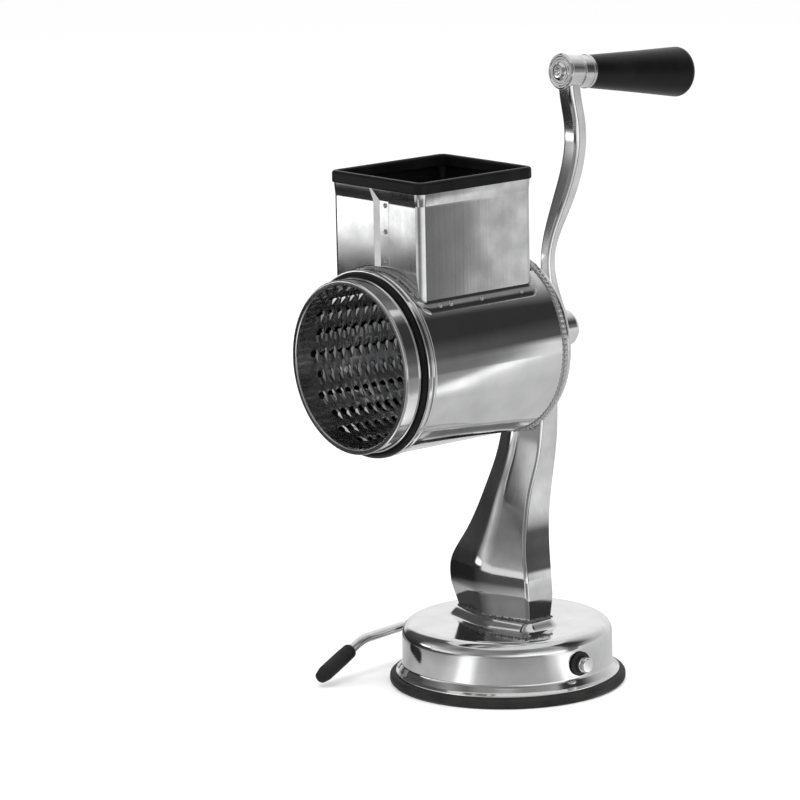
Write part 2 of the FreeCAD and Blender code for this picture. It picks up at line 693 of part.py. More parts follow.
def makeAxleHousing():
    front, back = get("housing_front"), get("housing_back")
    bore, outer, flange = get("housing_bore"), get("housing_radius"), get("housing_flange")
    seat = get("cover_depth") - get("cover_sheet")
    body = turned("axle_housing", [
        (front, bore), (front, outer + 1.5), (seat - 1.4, outer + 1.5), (seat - 1.4, flange), (seat, flange),
        (seat, outer), (back - 0.8, outer), (back, outer - 0.8), (back, bore)], "y", axisHeight)
    return body


def makeAxleBush(label, start, flangeAtFront):
    long, outer = get("axle_bush_length"), get("housing_bore") - 0.05
    bore, flange = get("axle_radius") + get("running_gap"), get("axle_bush_flange")
    if flangeAtFront:
        points = [(start - 1.5, bore), (start - 1.5, flange), (start - 0.1, flange), (start - 0.1, outer),
                  (start + long, outer), (start + long, bore)]
    else:
        points = [(start + 1.5, bore), (start - long, bore), (start - long, outer), (start + 0.1, outer),
                  (start + 0.1, flange), (start + 1.5, flange)]
    return turned(label, points, "y", axisHeight)


# Hopper: square chute with a flared top edge, saddle flange, front lap, spot welds and edge trim

def roundedBox(sketch, left, right, low, high, radius):
    """Rectangle with rounded corners drawn from sheet values."""
    x0, x1, y0, y1, r = (valueOf(size) for size in (left, right, low, high, radius))
    k = r * (1 - math.sqrt(0.5))
    ends = [(Vector(x0 + r, y0, 0), Vector(x1 - r, y0, 0)), (Vector(x1, y0 + r, 0), Vector(x1, y1 - r, 0)),
            (Vector(x1 - r, y1, 0), Vector(x0 + r, y1, 0)), (Vector(x0, y1 - r, 0), Vector(x0, y0 + r, 0))]
    middles = [Vector(x1 - k, y0 + k, 0), Vector(x1 - k, y1 - k, 0), Vector(x0 + k, y1 - k, 0), Vector(x0 + k, y0 + k, 0)]
    for (first, second), (following, _), middle in zip(ends, ends[1:] + ends[:1], middles):
        sketch.addGeometry(Part.LineSegment(first, second), False)
        sketch.addGeometry(Part.Arc(second, middle, following), False)


def hopperSection(body, height, grow):
    sketch = newSketch(body, "XY_Plane", height)
    half = get("hopper_half_width") + grow
    roundedBox(sketch, -half, half, get("hopper_front") - grow, get("hopper_back") + grow,
               get("hopper_corner") + max(valueOf(grow), -3))
    return sketch


def makeHopperBody():
    body = newBody("hopper_body")
    skin, flare = get("hopper_sheet"), get("hopper_flare")
    for kind, inset, over in (("PartDesign::AdditiveLoft", 0, 0), ("PartDesign::SubtractiveLoft", -1, 2)):
        grow = skin * inset
        sections = [hopperSection(body, axisHeight + 30 - over, grow), hopperSection(body, get("hopper_crease"), grow),
                    hopperSection(body, get("hopper_top") + over, grow + flare)]
        loft = body.newObject(kind, "Loft")
        loft.Profile = sections[0]
        loft.Sections = sections[1:]
        loft.Ruled = True
        body.Tip = loft
        doc.recompute()
    saddle = newSketch(body, "XZ_Plane")
    circle(saddle, 0, axisHeight, get("barrel_radius") + 0.05)
    pocket(body, saddle, 400, both=True)
    return body


def makeHopperFlange():
    inner, skin = get("barrel_radius") + 0.05, get("flange_sheet")
    front, back = get("hopper_front") - get("flange_over"), get("hopper_back") + get("flange_over")
    tubes = []
    for name, radius in (("outer", inner + skin), ("inner", inner)):
        tube = doc.addObject("Part::Cylinder", "saddle_" + name)
        bind(tube, "Radius", radius)
        bind(tube, "Height", back - front)
        tube.Placement = Placement(Vector(0, valueOf(back), valueOf(axisHeight)), Rotation(Vector(1, 0, 0), 90))
        tube.setExpression(".Placement.Base.y", back.text)
        tube.setExpression(".Placement.Base.z", axisHeight.text)
        tubes.append(tube)
    shell = doc.addObject("Part::Cut", "saddle_shell")
    shell.Base, shell.Tool = tubes
    frame = []
    wall = get("hopper_half_width") + 0.05
    for name, half, low, high in (("outer", get("flange_half_width"), front, back),
                                  ("inner", wall, get("hopper_front") - 0.05, get("hopper_back") + 0.05)):
        block = doc.addObject("Part::Box", "saddle_block_" + name)
        bind(block, "Length", half * 2)
        bind(block, "Width", high - low)
        bind(block, "Height", axisHeight)
        block.Placement.Base = Vector(-valueOf(half), valueOf(low), valueOf(axisHeight))
        block.setExpression(".Placement.Base.x", (-half).text)
        block.setExpression(".Placement.Base.y", low.text)
        block.setExpression(".Placement.Base.z", axisHeight.text)
        frame.append(block)
    window = doc.addObject("Part::Cut", "saddle_window")
    window.Base, window.Tool = frame
    flange = doc.addObject("Part::Common", "hopper_flange")
    flange.Base, flange.Tool = shell, window
    flange.Label = "hopper_flange"
    return flange


def makeHopperLap():
    body = newBody("hopper_lap")
    face = get("hopper_front")
    sketch = newSketch(body, "XY_Plane", axisHeight + 40)
    box(sketch, get("lap_left"), get("lap_right"), face - get("lap_sheet"), face)
    pad(body, sketch, get("hopper_crease") - axisHeight - 40)
    saddle = newSketch(body, "XZ_Plane")
    circle(saddle, 0, axisHeight, get("barrel_radius") + get("flange_sheet") + 0.1)
    pocket(body, saddle, 400, both=True)
    return body


def makeHopperTrim():
    body = newBody("hopper_trim")
    out, low, high, width = get("trim_out"), get("trim_bottom"), get("trim_top"), get("trim_width")
    slot, deep, edge = get("trim_slot"), get("trim_slot_depth"), get("trim_round")

    def around(sketch, grow):
        half = get("hopper_half_width") + grow
        roundedBox(sketch, -half, half, get("hopper_front") - grow, get("hopper_back") + grow,
                   get("hopper_corner") + grow)

    outline = newSketch(body, "XY_Plane", low)
    around(outline, out)
    around(outline, out - width)
    pad(body, outline, high - low)
    doc.recompute()
    top = valueOf(high)
    names = ["Edge%d" % n for n, e in enumerate(body.Shape.Edges, start=1)
             if abs(e.BoundBox.ZMin - top) < 1e-4 and abs(e.BoundBox.ZMax - top) < 1e-4]
    base = body.Tip
    rounded = body.newObject("PartDesign::Fillet", "Fillet")
    rounded.Base = (base, names)
    bind(rounded, "Radius", edge)
    body.Tip = rounded
    groove = newSketch(body, "XY_Plane", low)
    around(groove, get("hopper_flare") + 0.25)
    around(groove, get("hopper_flare") + 0.25 - slot)
    pocket(body, groove, deep, reverse=True)
    return body


def makeSpotWelds():
    """Small round dots on the lap, on the side flanges and on the front flange."""
    face = get("hopper_front") - get("lap_sheet")
    saddle = get("barrel_radius") + get("flange_sheet") + 0.05
    places = [(Vector(5.6, valueOf(face), z), Vector(0, -1, 0)) for z in (294, 282, 265)]
    for side in (-1, 1):
        for y in (-84, -64, -42, -21):
            angle = math.acos(40.3 / valueOf(saddle))
            normal = Vector(side * math.cos(angle), 0, math.sin(angle))
            places.append((Vector(0, y, valueOf(axisHeight)) + normal * valueOf(saddle), normal))
    for x in (-30, -15, 20, 32):
        angle = math.acos(x / valueOf(saddle))
        normal = Vector(math.cos(angle), 0, math.sin(angle))
        spot = Vector(0, valueOf(get("hopper_front")) - 1.9, valueOf(axisHeight)) + normal * valueOf(saddle)
        places.append((spot, normal))
    dots = []
    for number, (spot, normal) in enumerate(places):
        dot = doc.addObject("Part::Cone", "spot_%02d" % number)
        bind(dot, "Radius1", get("spot_radius"))
        bind(dot, "Radius2", get("spot_radius") * 0.6)
        bind(dot, "Height", get("spot_height"))
        dot.Placement = Placement(spot + normal * 0.02, Rotation(Vector(0, 0, 1), normal))
        dots.append(dot)
    group = doc.addObject("Part::Compound", "spot_welds")
    group.Links = dots
    group.Label = "spot_welds"
    return group


# Drum: punched sheet with a rolled front rim, rear seam, recessed end disc and axle

def makeDrumShell():
    front, back, radius, skin = get("drum_front"), get("drum_back"), get("drum_radius"), get("drum_sheet")
    body = turned("drum_shell", [(-front + 1.5, radius - skin), (-front + 1.5, radius), (-back, radius),
                                 (-back, radius - skin)], "y", axisHeight)
    first, pitch = get("hole_first"), get("hole_pitch")
    pairs = int(valueOf(get("hole_pairs")))
    originals = []
    for column in range(2):
        sketch = newSketch(body, "YZ_Plane")
        angle = 180.0 / pairs * column
        sketch.AttachmentOffset = Placement(Vector(0, 0, 0), Rotation(Vector(1, 0, 0), angle))
        rows = int(valueOf(get("hole_rows"))) - column
        for row in range(rows):
            circle(sketch, -first + pitch * (row + 0.5 * column), 0, get("hole_radius"))
        originals.append(pocket(body, sketch, radius + 5, reverse=True))
    pattern = body.newObject("PartDesign::PolarPattern", "PolarPattern")
    pattern.Originals = originals
    pattern.Axis = (originals[0].Profile[0], ["H_Axis"])
    pattern.Angle = 360
    pattern.Occurrences = pairs
    body.Tip = pattern
    doc.recompute()
    return body


def makeDrumRim():
    front, width, outer = get("drum_front"), get("drum_rim_width"), get("drum_rim_radius")
    inner = get("drum_radius")
    body = turned("drum_rim", [
        (-front, inner - 0.4), (-front, outer - 1.0), (-front + 0.9, outer), (-front + width - 1.3, outer),
        (-front + width, outer - 1.6), (-front + width, inner + 0.05), (-front + 1.45, inner + 0.05),
        (-front + 1.45, inner - 0.4)], "y", axisHeight)
    roundRings(body, "y", [(-front + 0.9, outer)], 0.6)
    return body


def makeDrumSeam():
    back, width, outer = get("drum_back"), get("drum_seam_width"), get("drum_seam_radius")
    inner = get("drum_radius")
    return turned("drum_seam", [
        (-back - width, inner + 0.05), (-back - width + 0.5, outer), (-back + 0.6, outer), (-back + 1.0, outer - 0.4),
        (-back + 1.0, inner - 1.4), (-back + 0.1, inner - 1.4), (-back + 0.1, inner + 0.05)], "y", axisHeight)


def makeDrumDisc():
    """Recessed end disc: outer flange, sunk ring, raised middle with the axle hole."""
    back, radius = get("drum_back"), get("drum_radius") - get("drum_sheet") - 0.1
    skin, sunk, step = get("disc_sheet"), get("disc_recess"), get("disc_step_radius")
    hole = get("axle_radius") + 0.05
    return turned("drum_disc", [
        (-back, radius), (-back - sunk - skin, radius), (-back - sunk - skin, step), (-back - sunk + 1.2, step - 3),
        (-back - sunk + 1.2, hole), (-back - sunk + 1.2 + skin, hole), (-back - sunk + 1.2 + skin, step - 2.4),
        (-back - sunk, step + 0.6), (-back - sunk, radius - skin), (-back, radius - skin)], "y", axisHeight)


def makeDrumAxle():
    """Spacer shaft through the bearing with a threaded stub and an inner flange."""
    shoulder, radius = get("axle_shoulder"), get("axle_radius")
    stub, length = get("stub_radius"), get("stub_length")
    pitch, depth = get("thread_pitch"), get("thread_depth")
    seat = -get("drum_back") - get("disc_recess") + 1.2
    flange, thick = get("axle_flange_radius"), get("axle_flange")
    outline = [(seat - thick, 0), (seat - thick, flange), (seat - 0.05, flange), (seat - 0.05, radius),
               (shoulder - 0.8, radius), (shoulder, radius - 0.8), (shoulder, stub - depth), (shoulder + 1, stub - depth)]
    turns = int(valueOf(length) / valueOf(pitch)) - 1
    for turn in range(turns):
        at = shoulder + 1 + pitch * turn
        outline += [(at + pitch * 0.25, stub), (at + pitch * 0.6, stub), (at + pitch * 0.9, stub - depth)]
    end = shoulder + length
    outline += [(end - 0.7, stub - depth), (end, stub - depth - 0.6), (end, 0)]
    return turned("drum_axle", outline, "y", axisHeight)


def makeAxleCollar():
    """Weld collar that holds the disc against the axle from behind."""
    seat = -get("drum_back") - get("disc_recess") + 1.2 + get("disc_sheet")
    radius = get("axle_radius") + 0.02
    return turned("axle_collar", [
        (seat + 0.05, radius), (seat + 0.05, radius + 5), (seat + 1.2, radius + 5), (seat + 3.0, radius + 2.5),
        (seat + 3.0, radius)], "y", axisHeight)


# Crank: one forging of hub, S shaped arm and boss, with the grip on its pin

def makeCrankArm():
    body = newBody("crank_arm", 0, axisHeight)
    radius, front, back = get("hub_radius"), get("hub_front"), get("hub_back")
    hub = newSketch(body, "YZ_Plane")
    polygon(hub, [(front, get("hub_bore")), (front, radius - 0.8), (front + 0.8, radius), (back - 4.5, radius),
                  (back - 1.4, radius - 2.2), (back, radius - 5.5), (back, 0), (get("hub_bore_end"), 0),
                  (get("hub_bore_end"), get("hub_bore"))])
    revolve(body, hub, "H_Axis")
    doc.recompute()

    path = newSketch(body, "YZ_Plane")
    through = [Vector(valueOf(get("arm_%s_back" % tag)), valueOf(get("arm_%s_rise" % tag)), 0)
               for tag, *rest in arm_points]
    curve = Part.BSplineCurve()
    curve.interpolate(through)
    path.addGeometry(curve, False)
    section = newSketch(body, "XY_Plane", get("arm_a_rise"))
    centre, wide, thick = get("arm_a_back"), get("arm_half_width"), get("arm_half_thick")
    roundedBox(section, -wide, wide, centre - thick, centre + thick, get("arm_corner"))
    arm = body.newObject("PartDesign::AdditivePipe", "Arm")
    arm.Profile = section
    arm.Spine = (path, ["Edge1"])
    body.Tip = arm
    doc.recompute()

    boss = newSketch(body, "YZ_Plane")
    droop = math.radians(valueOf(get("boss_droop")))
    along, across = Vector(math.cos(droop), -math.sin(droop), 0), Vector(math.sin(droop), math.cos(droop), 0)
    start = Vector(valueOf(get("boss_y")), valueOf(get("boss_rise")), 0)
    long, wide = valueOf(get("boss_length")), valueOf(get("boss_radius"))
    outline = [start, start + across * (wide - 1.5), start + along * 1.5 + across * wide,
               start + along * (long - 2.0) + across * wide, start + along * long + across * (wide - 1.2),
               start + along * long]
    for first, second in zip(outline, outline[1:] + outline[:1]):
        boss.addGeometry(Part.LineSegment(first, second), False)
    line = boss.addGeometry(Part.LineSegment(start - along * 5, start + along * (long + 5)), True)
    boss.addConstraint(Sketcher.Constraint("PointOnObject", 0, 1, line))
    revolve(body, boss, "Axis0")
    doc.recompute()

    inner = get("hub_bore")
    bore = newSketch(body, "YZ_Plane")
    polygon(bore, [(front - 3, 0), (get("hub_bore_end"), 0), (get("hub_bore_end"), inner), (front - 3, inner)])
    revolve(body, bore, "H_Axis", "PartDesign::Groove")
    hole = newSketch(body, "YZ_Plane")
    fit = valueOf(get("pin_radius") + 0.02)
    outline = [start - along * 3, start - along * 3 + across * fit, start + along * (long + 6) + across * fit,
               start + along * (long + 6)]
    for first, second in zip(outline, outline[1:] + outline[:1]):
        hole.addGeometry(Part.LineSegment(first, second), False)
    line = hole.addGeometry(Part.LineSegment(start - along * 5, start + along * (long + 9)), True)
    revolve(body, hole, "Axis0", "PartDesign::Groove")
    doc.recompute()
    return body


def makeHubWasher():
    hole, front = get("axle_radius") + 0.1, get("hub_front") - 2.0
    return turned("hub_washer", [(front, hole), (front, hole + 2.6), (front + 1.8, hole + 2.6), (front + 1.8, hole)],
                  "y", axisHeight)


def onGripAxis(label, points):
    """Body of revolution about the drooping grip axis; points are (distance along it, radius)."""
    body = turned(label, points)
    body.Placement = Placement(Vector(0, valueOf(get("boss_y")), valueOf(axisHeight + get("boss_rise"))),
                               Rotation(Vector(1, 0, 0), -valueOf(get("boss_droop"))))
    body.setExpression(".Placement.Base.y", get("boss_y").text)
    body.setExpression(".Placement.Base.z", (axisHeight + get("boss_rise")).text)
    return body


def makeGripPin():
    head, tall, radius, long = get("pin_head_radius"), get("pin_head"), get("pin_radius"), get("pin_length")
    body = onGripAxis("grip_pin", [
        (-tall, 0), (-tall, head * 0.35), (-tall * 0.8, head * 0.65), (-tall * 0.4, head * 0.9), (-0.05, head),
        (-0.05, radius), (long - 0.8, radius), (long, radius - 0.8), (long, 0)])
    return body


def makeFerrule():
    start, end, bore = get("ferrule_start"), get("ferrule_end"), get("pin_radius") + get("pin_gap")
    return onGripAxis("grip_ferrule", [
        (start, bore), (start, get("ferrule_small") - 1.4), (start + 0.8, get("ferrule_small")),
        (end - 2.2, get("ferrule_large") - 0.1), (end - 2.0, get("ferrule_large") + 0.4),
        (end - 0.3, get("ferrule_large") + 0.4), (end, get("ferrule_large")), (end, bore)])


def makeGrip():
    start, end, bore = get("ferrule_end") + 0.05, get("grip_end"), get("pin_radius") + get("pin_gap")
    small, large, wide = get("grip_small"), get("grip_large"), get("grip_widest")
    shoulder = (end - 0.9, large - 5.0)
    body = onGripAxis("grip", [
        (start, bore), (start, small), (wide, large), shoulder, (end, large * 0.4), (end, 0),
        (get("pin_length") + 1, 0), (get("pin_length") + 1, bore)])
    doc.recompute()
    roundRings(body, "y", [(wide, large)], 5.0)
    roundRings(body, "y", [shoulder], 4.0)
    return body


nodes = [
    makeBaseShell(), makeSuctionRing(), makeSuctionDisc(), makePadPlate(), makeLiftYoke(), makeGuidePlate(),
    makeShaftBushes(), makeCrossShaft(), makeLiftCam(), makeShaftCollars(), makeLeverRod(), makeLeverCap(),
    makeLegFront(), makeLegBack(), makeFootWeld(), makeFootPlate(), makeFootBolts(), makeFootNuts(),
    makeBarrel(), makeMouthRing(), makeRearCover(), makeRearSeam(), makeAxleHousing(),
    makeAxleBush("front_bush", get("housing_front"), True), makeAxleBush("rear_bush", get("housing_back"), False),
    makeHopperBody(), makeHopperFlange(), makeHopperLap(), makeHopperTrim(), makeSpotWelds(),
    makeDrumShell(), makeDrumRim(), makeDrumSeam(), makeDrumDisc(), makeDrumAxle(), makeAxleCollar(),
    makeCrankArm(), makeHubWasher(), makeGripPin(), makeFerrule(), makeGrip(),
]
doc.recompute()

# Checks, then one file for each piece

for item in doc.Objects:
    if "Invalid" in item.State or "Error" in item.State:
        raise ValueError("%s is not valid: %s" % (item.Label, item.State))
for node in nodes:
    if node.Shape.isNull() or not node.Shape.isValid() or not node.Shape.Solids:
        raise ValueError(node.Label + " has no valid solid")
for node in nodes:
    node.Shape.exportStep("parts/%s.step" % node.Label)
    reach = node.Shape.BoundBox
    print("%-14s solids %2d  volume %9.0f  x %6.1f %6.1f  y %6.1f %6.1f  z %6.1f %6.1f" % (
        node.Label, len(node.Shape.Solids), node.Shape.Volume, reach.XMin, reach.XMax, reach.YMin, reach.YMax,
        reach.ZMin, reach.ZMax))
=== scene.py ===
# Hand cranked rotary shredder on a suction base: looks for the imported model.
# Lengths in the dictionaries are millimetres, the meshes are metres. A profile's rows are
# (place along the axis, distance from it, radius of the corner there).
import math
import bmesh
import bpy
import numpy as np
from mathutils import Matrix, Vector


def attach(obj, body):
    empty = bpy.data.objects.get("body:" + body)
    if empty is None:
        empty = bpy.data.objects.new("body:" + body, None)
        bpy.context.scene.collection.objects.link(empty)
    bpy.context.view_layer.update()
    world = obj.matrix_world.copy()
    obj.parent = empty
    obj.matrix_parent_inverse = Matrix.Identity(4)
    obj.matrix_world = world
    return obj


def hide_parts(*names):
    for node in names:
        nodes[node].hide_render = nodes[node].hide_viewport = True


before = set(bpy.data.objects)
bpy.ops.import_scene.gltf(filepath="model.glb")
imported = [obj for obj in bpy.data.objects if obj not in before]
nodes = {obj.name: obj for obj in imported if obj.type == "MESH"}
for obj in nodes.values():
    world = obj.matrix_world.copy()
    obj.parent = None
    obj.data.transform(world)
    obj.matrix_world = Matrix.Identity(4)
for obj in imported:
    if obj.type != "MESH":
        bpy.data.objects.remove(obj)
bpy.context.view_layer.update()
print("shredder: frame loaded,", len(nodes), "nodes")

axle = {"height": 205.5, "shaft": 21.0}        # centre lines: barrel, drum and crank; lever's shaft
upAxis = (np.zeros(3), np.array([0, 0, 1.0]))
barrelAxis = (np.array([0, 0, axle["height"]]), np.array([0, 1.0, 0]))
shaftAxis = (np.array([0, 0, axle["shaft"]]), np.array([1.0, 0, 0]))


# Shapes as arrays: a grid holds points in rows and columns, either of which may close into a ring

def roundedLine(corners, radii, steps=7, closed=False):
    # Every corner gives way to an arc touching both sides: its centre lies on the bisector at
    # radius / sin(half angle), and the arc turns evenly from one touching point to the other.
    # A point just outside each end keeps the sides flat.
    farHold, holdShare = 0.35, 0.25
    corners = np.asarray(corners, float)
    line = []
    for i, corner in enumerate(corners):
        if radii[i] <= 0 or (not closed and i in (0, len(corners) - 1)):
            line.append(corner[None])
            continue
        before, after = corners[i - 1] - corner, corners[(i + 1) % len(corners)] - corner
        longs = np.linalg.norm(before), np.linalg.norm(after)
        before, after = before / longs[0], after / longs[1]
        half = math.acos(max(-1, min(1, before @ after))) / 2
        reach, turn = radii[i] / math.tan(half), math.pi - 2 * half
        middle = (before + after) / np.linalg.norm(before + after)
        centre = corner + middle * radii[i] / math.sin(half)
        start, end = corner + before * reach - centre, corner + after * reach - centre
        t = np.linspace(0, 1, steps + 1)[:, None]
        arc = centre + (np.sin((1 - t) * turn) * start + np.sin(t * turn) * end) / math.sin(turn)
        hold = [min(farHold, holdShare * (side - reach)) for side in longs]
        line += [(corner + before * (reach + hold[0]))[None], arc,
                 (corner + after * (reach + hold[1]))[None]]
    return np.concatenate(line)


def profile(rows, steps=4, closed=False, shift=0.0):
    # The rounded line through a profile's rows, moved along the axis
    rows = np.array(rows, float)
    return roundedLine(rows[:, :2] + [shift, 0], rows[:, 2], steps, closed)


def splineThrough(knots, values, at):
    # Natural cubic: the second slopes at the knots solve one set of equations, and between two
    # knots the value is the straight blend plus the cubic parts of both ends.
    knots, values = np.asarray(knots, float), np.asarray(values, float)
    step, n = np.diff(knots), len(knots)
    matrix, side = np.eye(n), np.zeros((n,) + values.shape[1:])
    inner = np.arange(1, n - 1)
    matrix[inner, inner - 1], matrix[inner, inner + 1] = step[:-1], step[1:]
    matrix[inner, inner] = 2 * (step[:-1] + step[1:])
    slope = (np.diff(values, axis=0).T / step).T
    side[1:-1] = 6 * (slope[1:] - slope[:-1])
    bend = np.linalg.solve(matrix, side)
    k = np.clip(np.searchsorted(knots, at) - 1, 0, n - 2)
    h = step[k]
    a, b = (knots[k + 1] - at) / h, (at - knots[k]) / h

    def cubic(share, bends):
        return ((share ** 3 - share) * h * h / 6 * bends.T).T

    straight = (a * values[k].T).T + (b * values[k + 1].T).T
    return straight + cubic(a, bend[k]) + cubic(b, bend[k + 1])


def spun(line, axis, segments=128, ring=False):
    # Points (along, radius) go round the axis as origin + along + radius * (cos, sin).
    origin, along = axis
    side = np.cross(along, [0, 0, 1.0] if abs(along[2]) < 0.9 else [0, 1.0, 0])
    side /= np.linalg.norm(side)
    other = np.cross(along, side)
    t = np.linspace(0, 2 * np.pi, segments, endpoint=False)
    circle = np.cos(t)[:, None] * side + np.sin(t)[:, None] * other
    line = np.asarray(line, float)
    grid = origin + line[:, None, :1] * along + line[:, None, 1:] * circle[None]
    return grid, ring, True


def roundBarrel(radius, y, t):
    # Points at that radius, place along and angle about the barrel's axis
    x, z = radius * np.cos(t), axle["height"] + radius * np.sin(t)
    return np.stack(np.broadcast_arrays(x, y, z), -1)


def swept(line, section, sideways, scale):
    # The section (u, v) rides along the line, u on the fixed sideways direction and v on
    # sideways x tangent, times the scale at that place.
    tangent = np.gradient(line, axis=0)
    tangent /= np.linalg.norm(tangent, axis=1)[:, None]
    across = np.cross(sideways, tangent)
    across /= np.linalg.norm(across, axis=1)[:, None]
    flat = np.cross(tangent, across)
    size = scale[:, None, None]
    return (line[:, None] + section[None, :, :1] * flat[:, None] * size
            + section[None, :, 1:] * across[:, None] * size)


def capped(grid):
    # A tube of closed rows, with each end row shrunk to its own middle as a lid.
    ends = [np.stack([row, np.repeat(row.mean(0)[None], len(row), 0)]) for row in grid[[0, -1]]]
    return [(grid, False, True)] + [(end, False, True) for end in ends]


def stacked(section, z):
    # A flat section lifted to the height z
    return np.column_stack([section, np.full(len(section), z)])


def joined(grids):
    # Points and four-cornered faces of several grids in one numbering; a ring's last row or
    # column goes on to its first.
    points, faces, count = [], [], 0
    for grid, ringRows, ringCols in grids:
        rows, cols = grid.shape[:2]
        r = np.arange(rows if ringRows else rows - 1)[:, None]
        c = np.arange(cols if ringCols else cols - 1)[None]
        up, over = (r + 1) % rows, (c + 1) % cols
        quad = np.broadcast_arrays(r * cols + c, r * cols + over, up * cols + over, up * cols + c)
        faces.append(np.stack(quad, -1).reshape(-1, 4) + count)
        points.append(grid.reshape(-1, 3))
        count += rows * cols
    return np.concatenate(points), np.concatenate(faces)


def closedMesh(name, points, faces, near, turnOut=False):
    # A mesh in metres whose seams and poles are closed by merging points nearer than near
    mesh = bpy.data.meshes.new(name)
    mesh.vertices.add(len(points))
    mesh.vertices.foreach_set("co", (points * 0.001).astype(np.float32).ravel())
    mesh.loops.add(faces.size)
    mesh.loops.foreach_set("vertex_index", faces.astype(np.int32).ravel())
    mesh.polygons.add(len(faces))
    mesh.polygons.foreach_set("loop_start", np.arange(0, faces.size, 4, dtype=np.int32))
    mesh.update(calc_edges=True)
    work = bmesh.new()
    work.from_mesh(mesh)
    bmesh.ops.remove_doubles(work, verts=work.verts, dist=near)
    if turnOut:
        bmesh.ops.recalc_face_normals(work, faces=work.faces)
    work.to_mesh(mesh)
    work.free()
    return mesh


def smoothed(mesh, sharp):
    mesh.polygons.foreach_set("use_smooth", np.ones(len(mesh.polygons), dtype=bool))
    if sharp:
        mesh.set_sharp_from_angle(angle=math.radians(sharp))


def dressed(name, mesh, finish, body, replaced, sharp):
    smoothed(mesh, sharp)
    obj = bpy.data.objects.new(name, mesh)
    bpy.context.scene.collection.objects.link(obj)
    for material in finish if isinstance(finish, (list, tuple)) else [finish]:
        mesh.materials.append(material)
    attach(obj, body)
    if replaced:
        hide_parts(*replaced)
    return obj


def piece(name, shells, finish, body, replaced=(), sharp=35):
    # A shell is a list of grids that close each other. One whose volume about its own middle is
    # negative is turned over.
    points, faces, count = [], [], 0
    for shell in shells:
        p, q = joined(shell)
        a, b, c, d = (p[q[:, k]] - p.mean(0) for k in range(4))
        volume = np.einsum("ij,ij->i", a, np.cross(b, c)) + np.einsum("ij,ij->i", a, np.cross(c, d))
        if volume.sum() < 0:
            q = q[:, ::-1]
        points.append(p)
        faces.append(q + count)
        count += len(p)
    mesh = closedMesh(name, np.concatenate(points), np.concatenate(faces), near=3e-6)
    return dressed(name, mesh, finish, body, replaced, sharp)


def turned(name, line, axis, finish, body, node, segments, ring=True, sharp=35):
    # One profile turned on a lathe: a ring where the profile's last point goes on to its first
    return piece(name, [[spun(line, axis, segments, ring)]], finish, body, [node], sharp)


def cutBy(obj, shell):
    # Takes the closed cutter shape out of the piece and keeps the result as its mesh.
    cutter = piece("cutter", [shell], [], "stand", sharp=0)
    tool = obj.modifiers.new("cut", "BOOLEAN")
    tool.operation, tool.solver, tool.object = "DIFFERENCE", "EXACT", cutter
    bpy.context.view_layer.update()
    whole = obj.evaluated_get(bpy.context.evaluated_depsgraph_get())
    result = bpy.data.meshes.new_from_object(whole)
    obj.modifiers.remove(tool)
    old, obj.data = obj.data, result
    result.name = obj.name
    bpy.data.objects.remove(cutter)
    bpy.data.meshes.remove(old)
    smoothed(result, 35)


def blockShell(low, high):
    # A plain box as a ring of four uprights with a lid and a floor.
    (x0, y0, z0), (x1, y1, z1) = low, high
    ring = np.array([[x0, y0], [x1, y0], [x1, y1], [x0, y1]], float)
    return capped(np.stack([stacked(ring, z) for z in (z0, z1)]))


# Finishes

def setInputs(tree, node, inputs):
    # An input takes a plain value, or a link where the value is another node's output.
    for label, value in inputs.items():
        if isinstance(value, bpy.types.NodeSocket):
            tree.links.new(value, node.inputs[label])
        else:
            node.inputs[label].default_value = value


def newNode(tree, kind, inputs, **settings):
    node = tree.nodes.new(kind)
    for label, value in settings.items():
        setattr(node, label, value)
    setInputs(tree, node, inputs)
    return node


def noise(tree, place, scaleAndDetail):
    scale, detail = scaleAndDetail
    inputs = {"Vector": place, "Scale": scale, "Detail": detail}
    return newNode(tree, "ShaderNodeTexNoise", inputs).outputs["Fac"]


def timesPlus(tree, first, second, third=0.0):
    # first * second + third
    inputs = {0: first, 1: second, 2: third}
    return newNode(tree, "ShaderNodeMath", inputs, operation="MULTIPLY_ADD").outputs[0]


def spread(tree, source, span, to):
    # The source's span laid evenly over another span
    inputs = {"Value": source, "From Min": span[0], "From Max": span[1],
              "To Min": to[0], "To Max": to[1]}
    return newNode(tree, "ShaderNodeMapRange", inputs).outputs["Result"]


def ramp(tree, stops, source):
    # Stops are (place, grey) or (place, (red, green, blue)).
    node = newNode(tree, "ShaderNodeValToRGB", {"Fac": source})
    elements = node.color_ramp.elements
    elements.remove(elements[1])
    for i, (place, value) in enumerate(stops):
        element = elements.new(place) if i else elements[0]
        element.position = place
        element.color = (tuple(value) if isinstance(value, tuple) else (value,) * 3) + (1,)
    return node.outputs["Color"]


def blended(tree, factor, first, second, way="MIX"):
    inputs = {"Factor": factor, "A": first, "B": second}
    node = newNode(tree, "ShaderNodeMix", inputs, data_type="RGBA", blend_type=way)
    return node.outputs["Result"]


def newMaterial(name, inputs):
    material = bpy.data.materials.new(name)
    material.use_nodes = True
    shader = material.node_tree.nodes["Principled BSDF"]
    setInputs(material.node_tree, shader, inputs)
    return material, material.node_tree, shader


# noise scales and details, and how strongly each shows
skin = {"waves": (26, 1), "lines": (1, 3), "cloud": (55, 5), "specks": (900, 2),
        "cloudSpan": (0.3, 0.75), "linesInGloss": 0.03, "linesInHeight": 0.02,
        "specksInHeight": 0.006, "relief": 0.001}


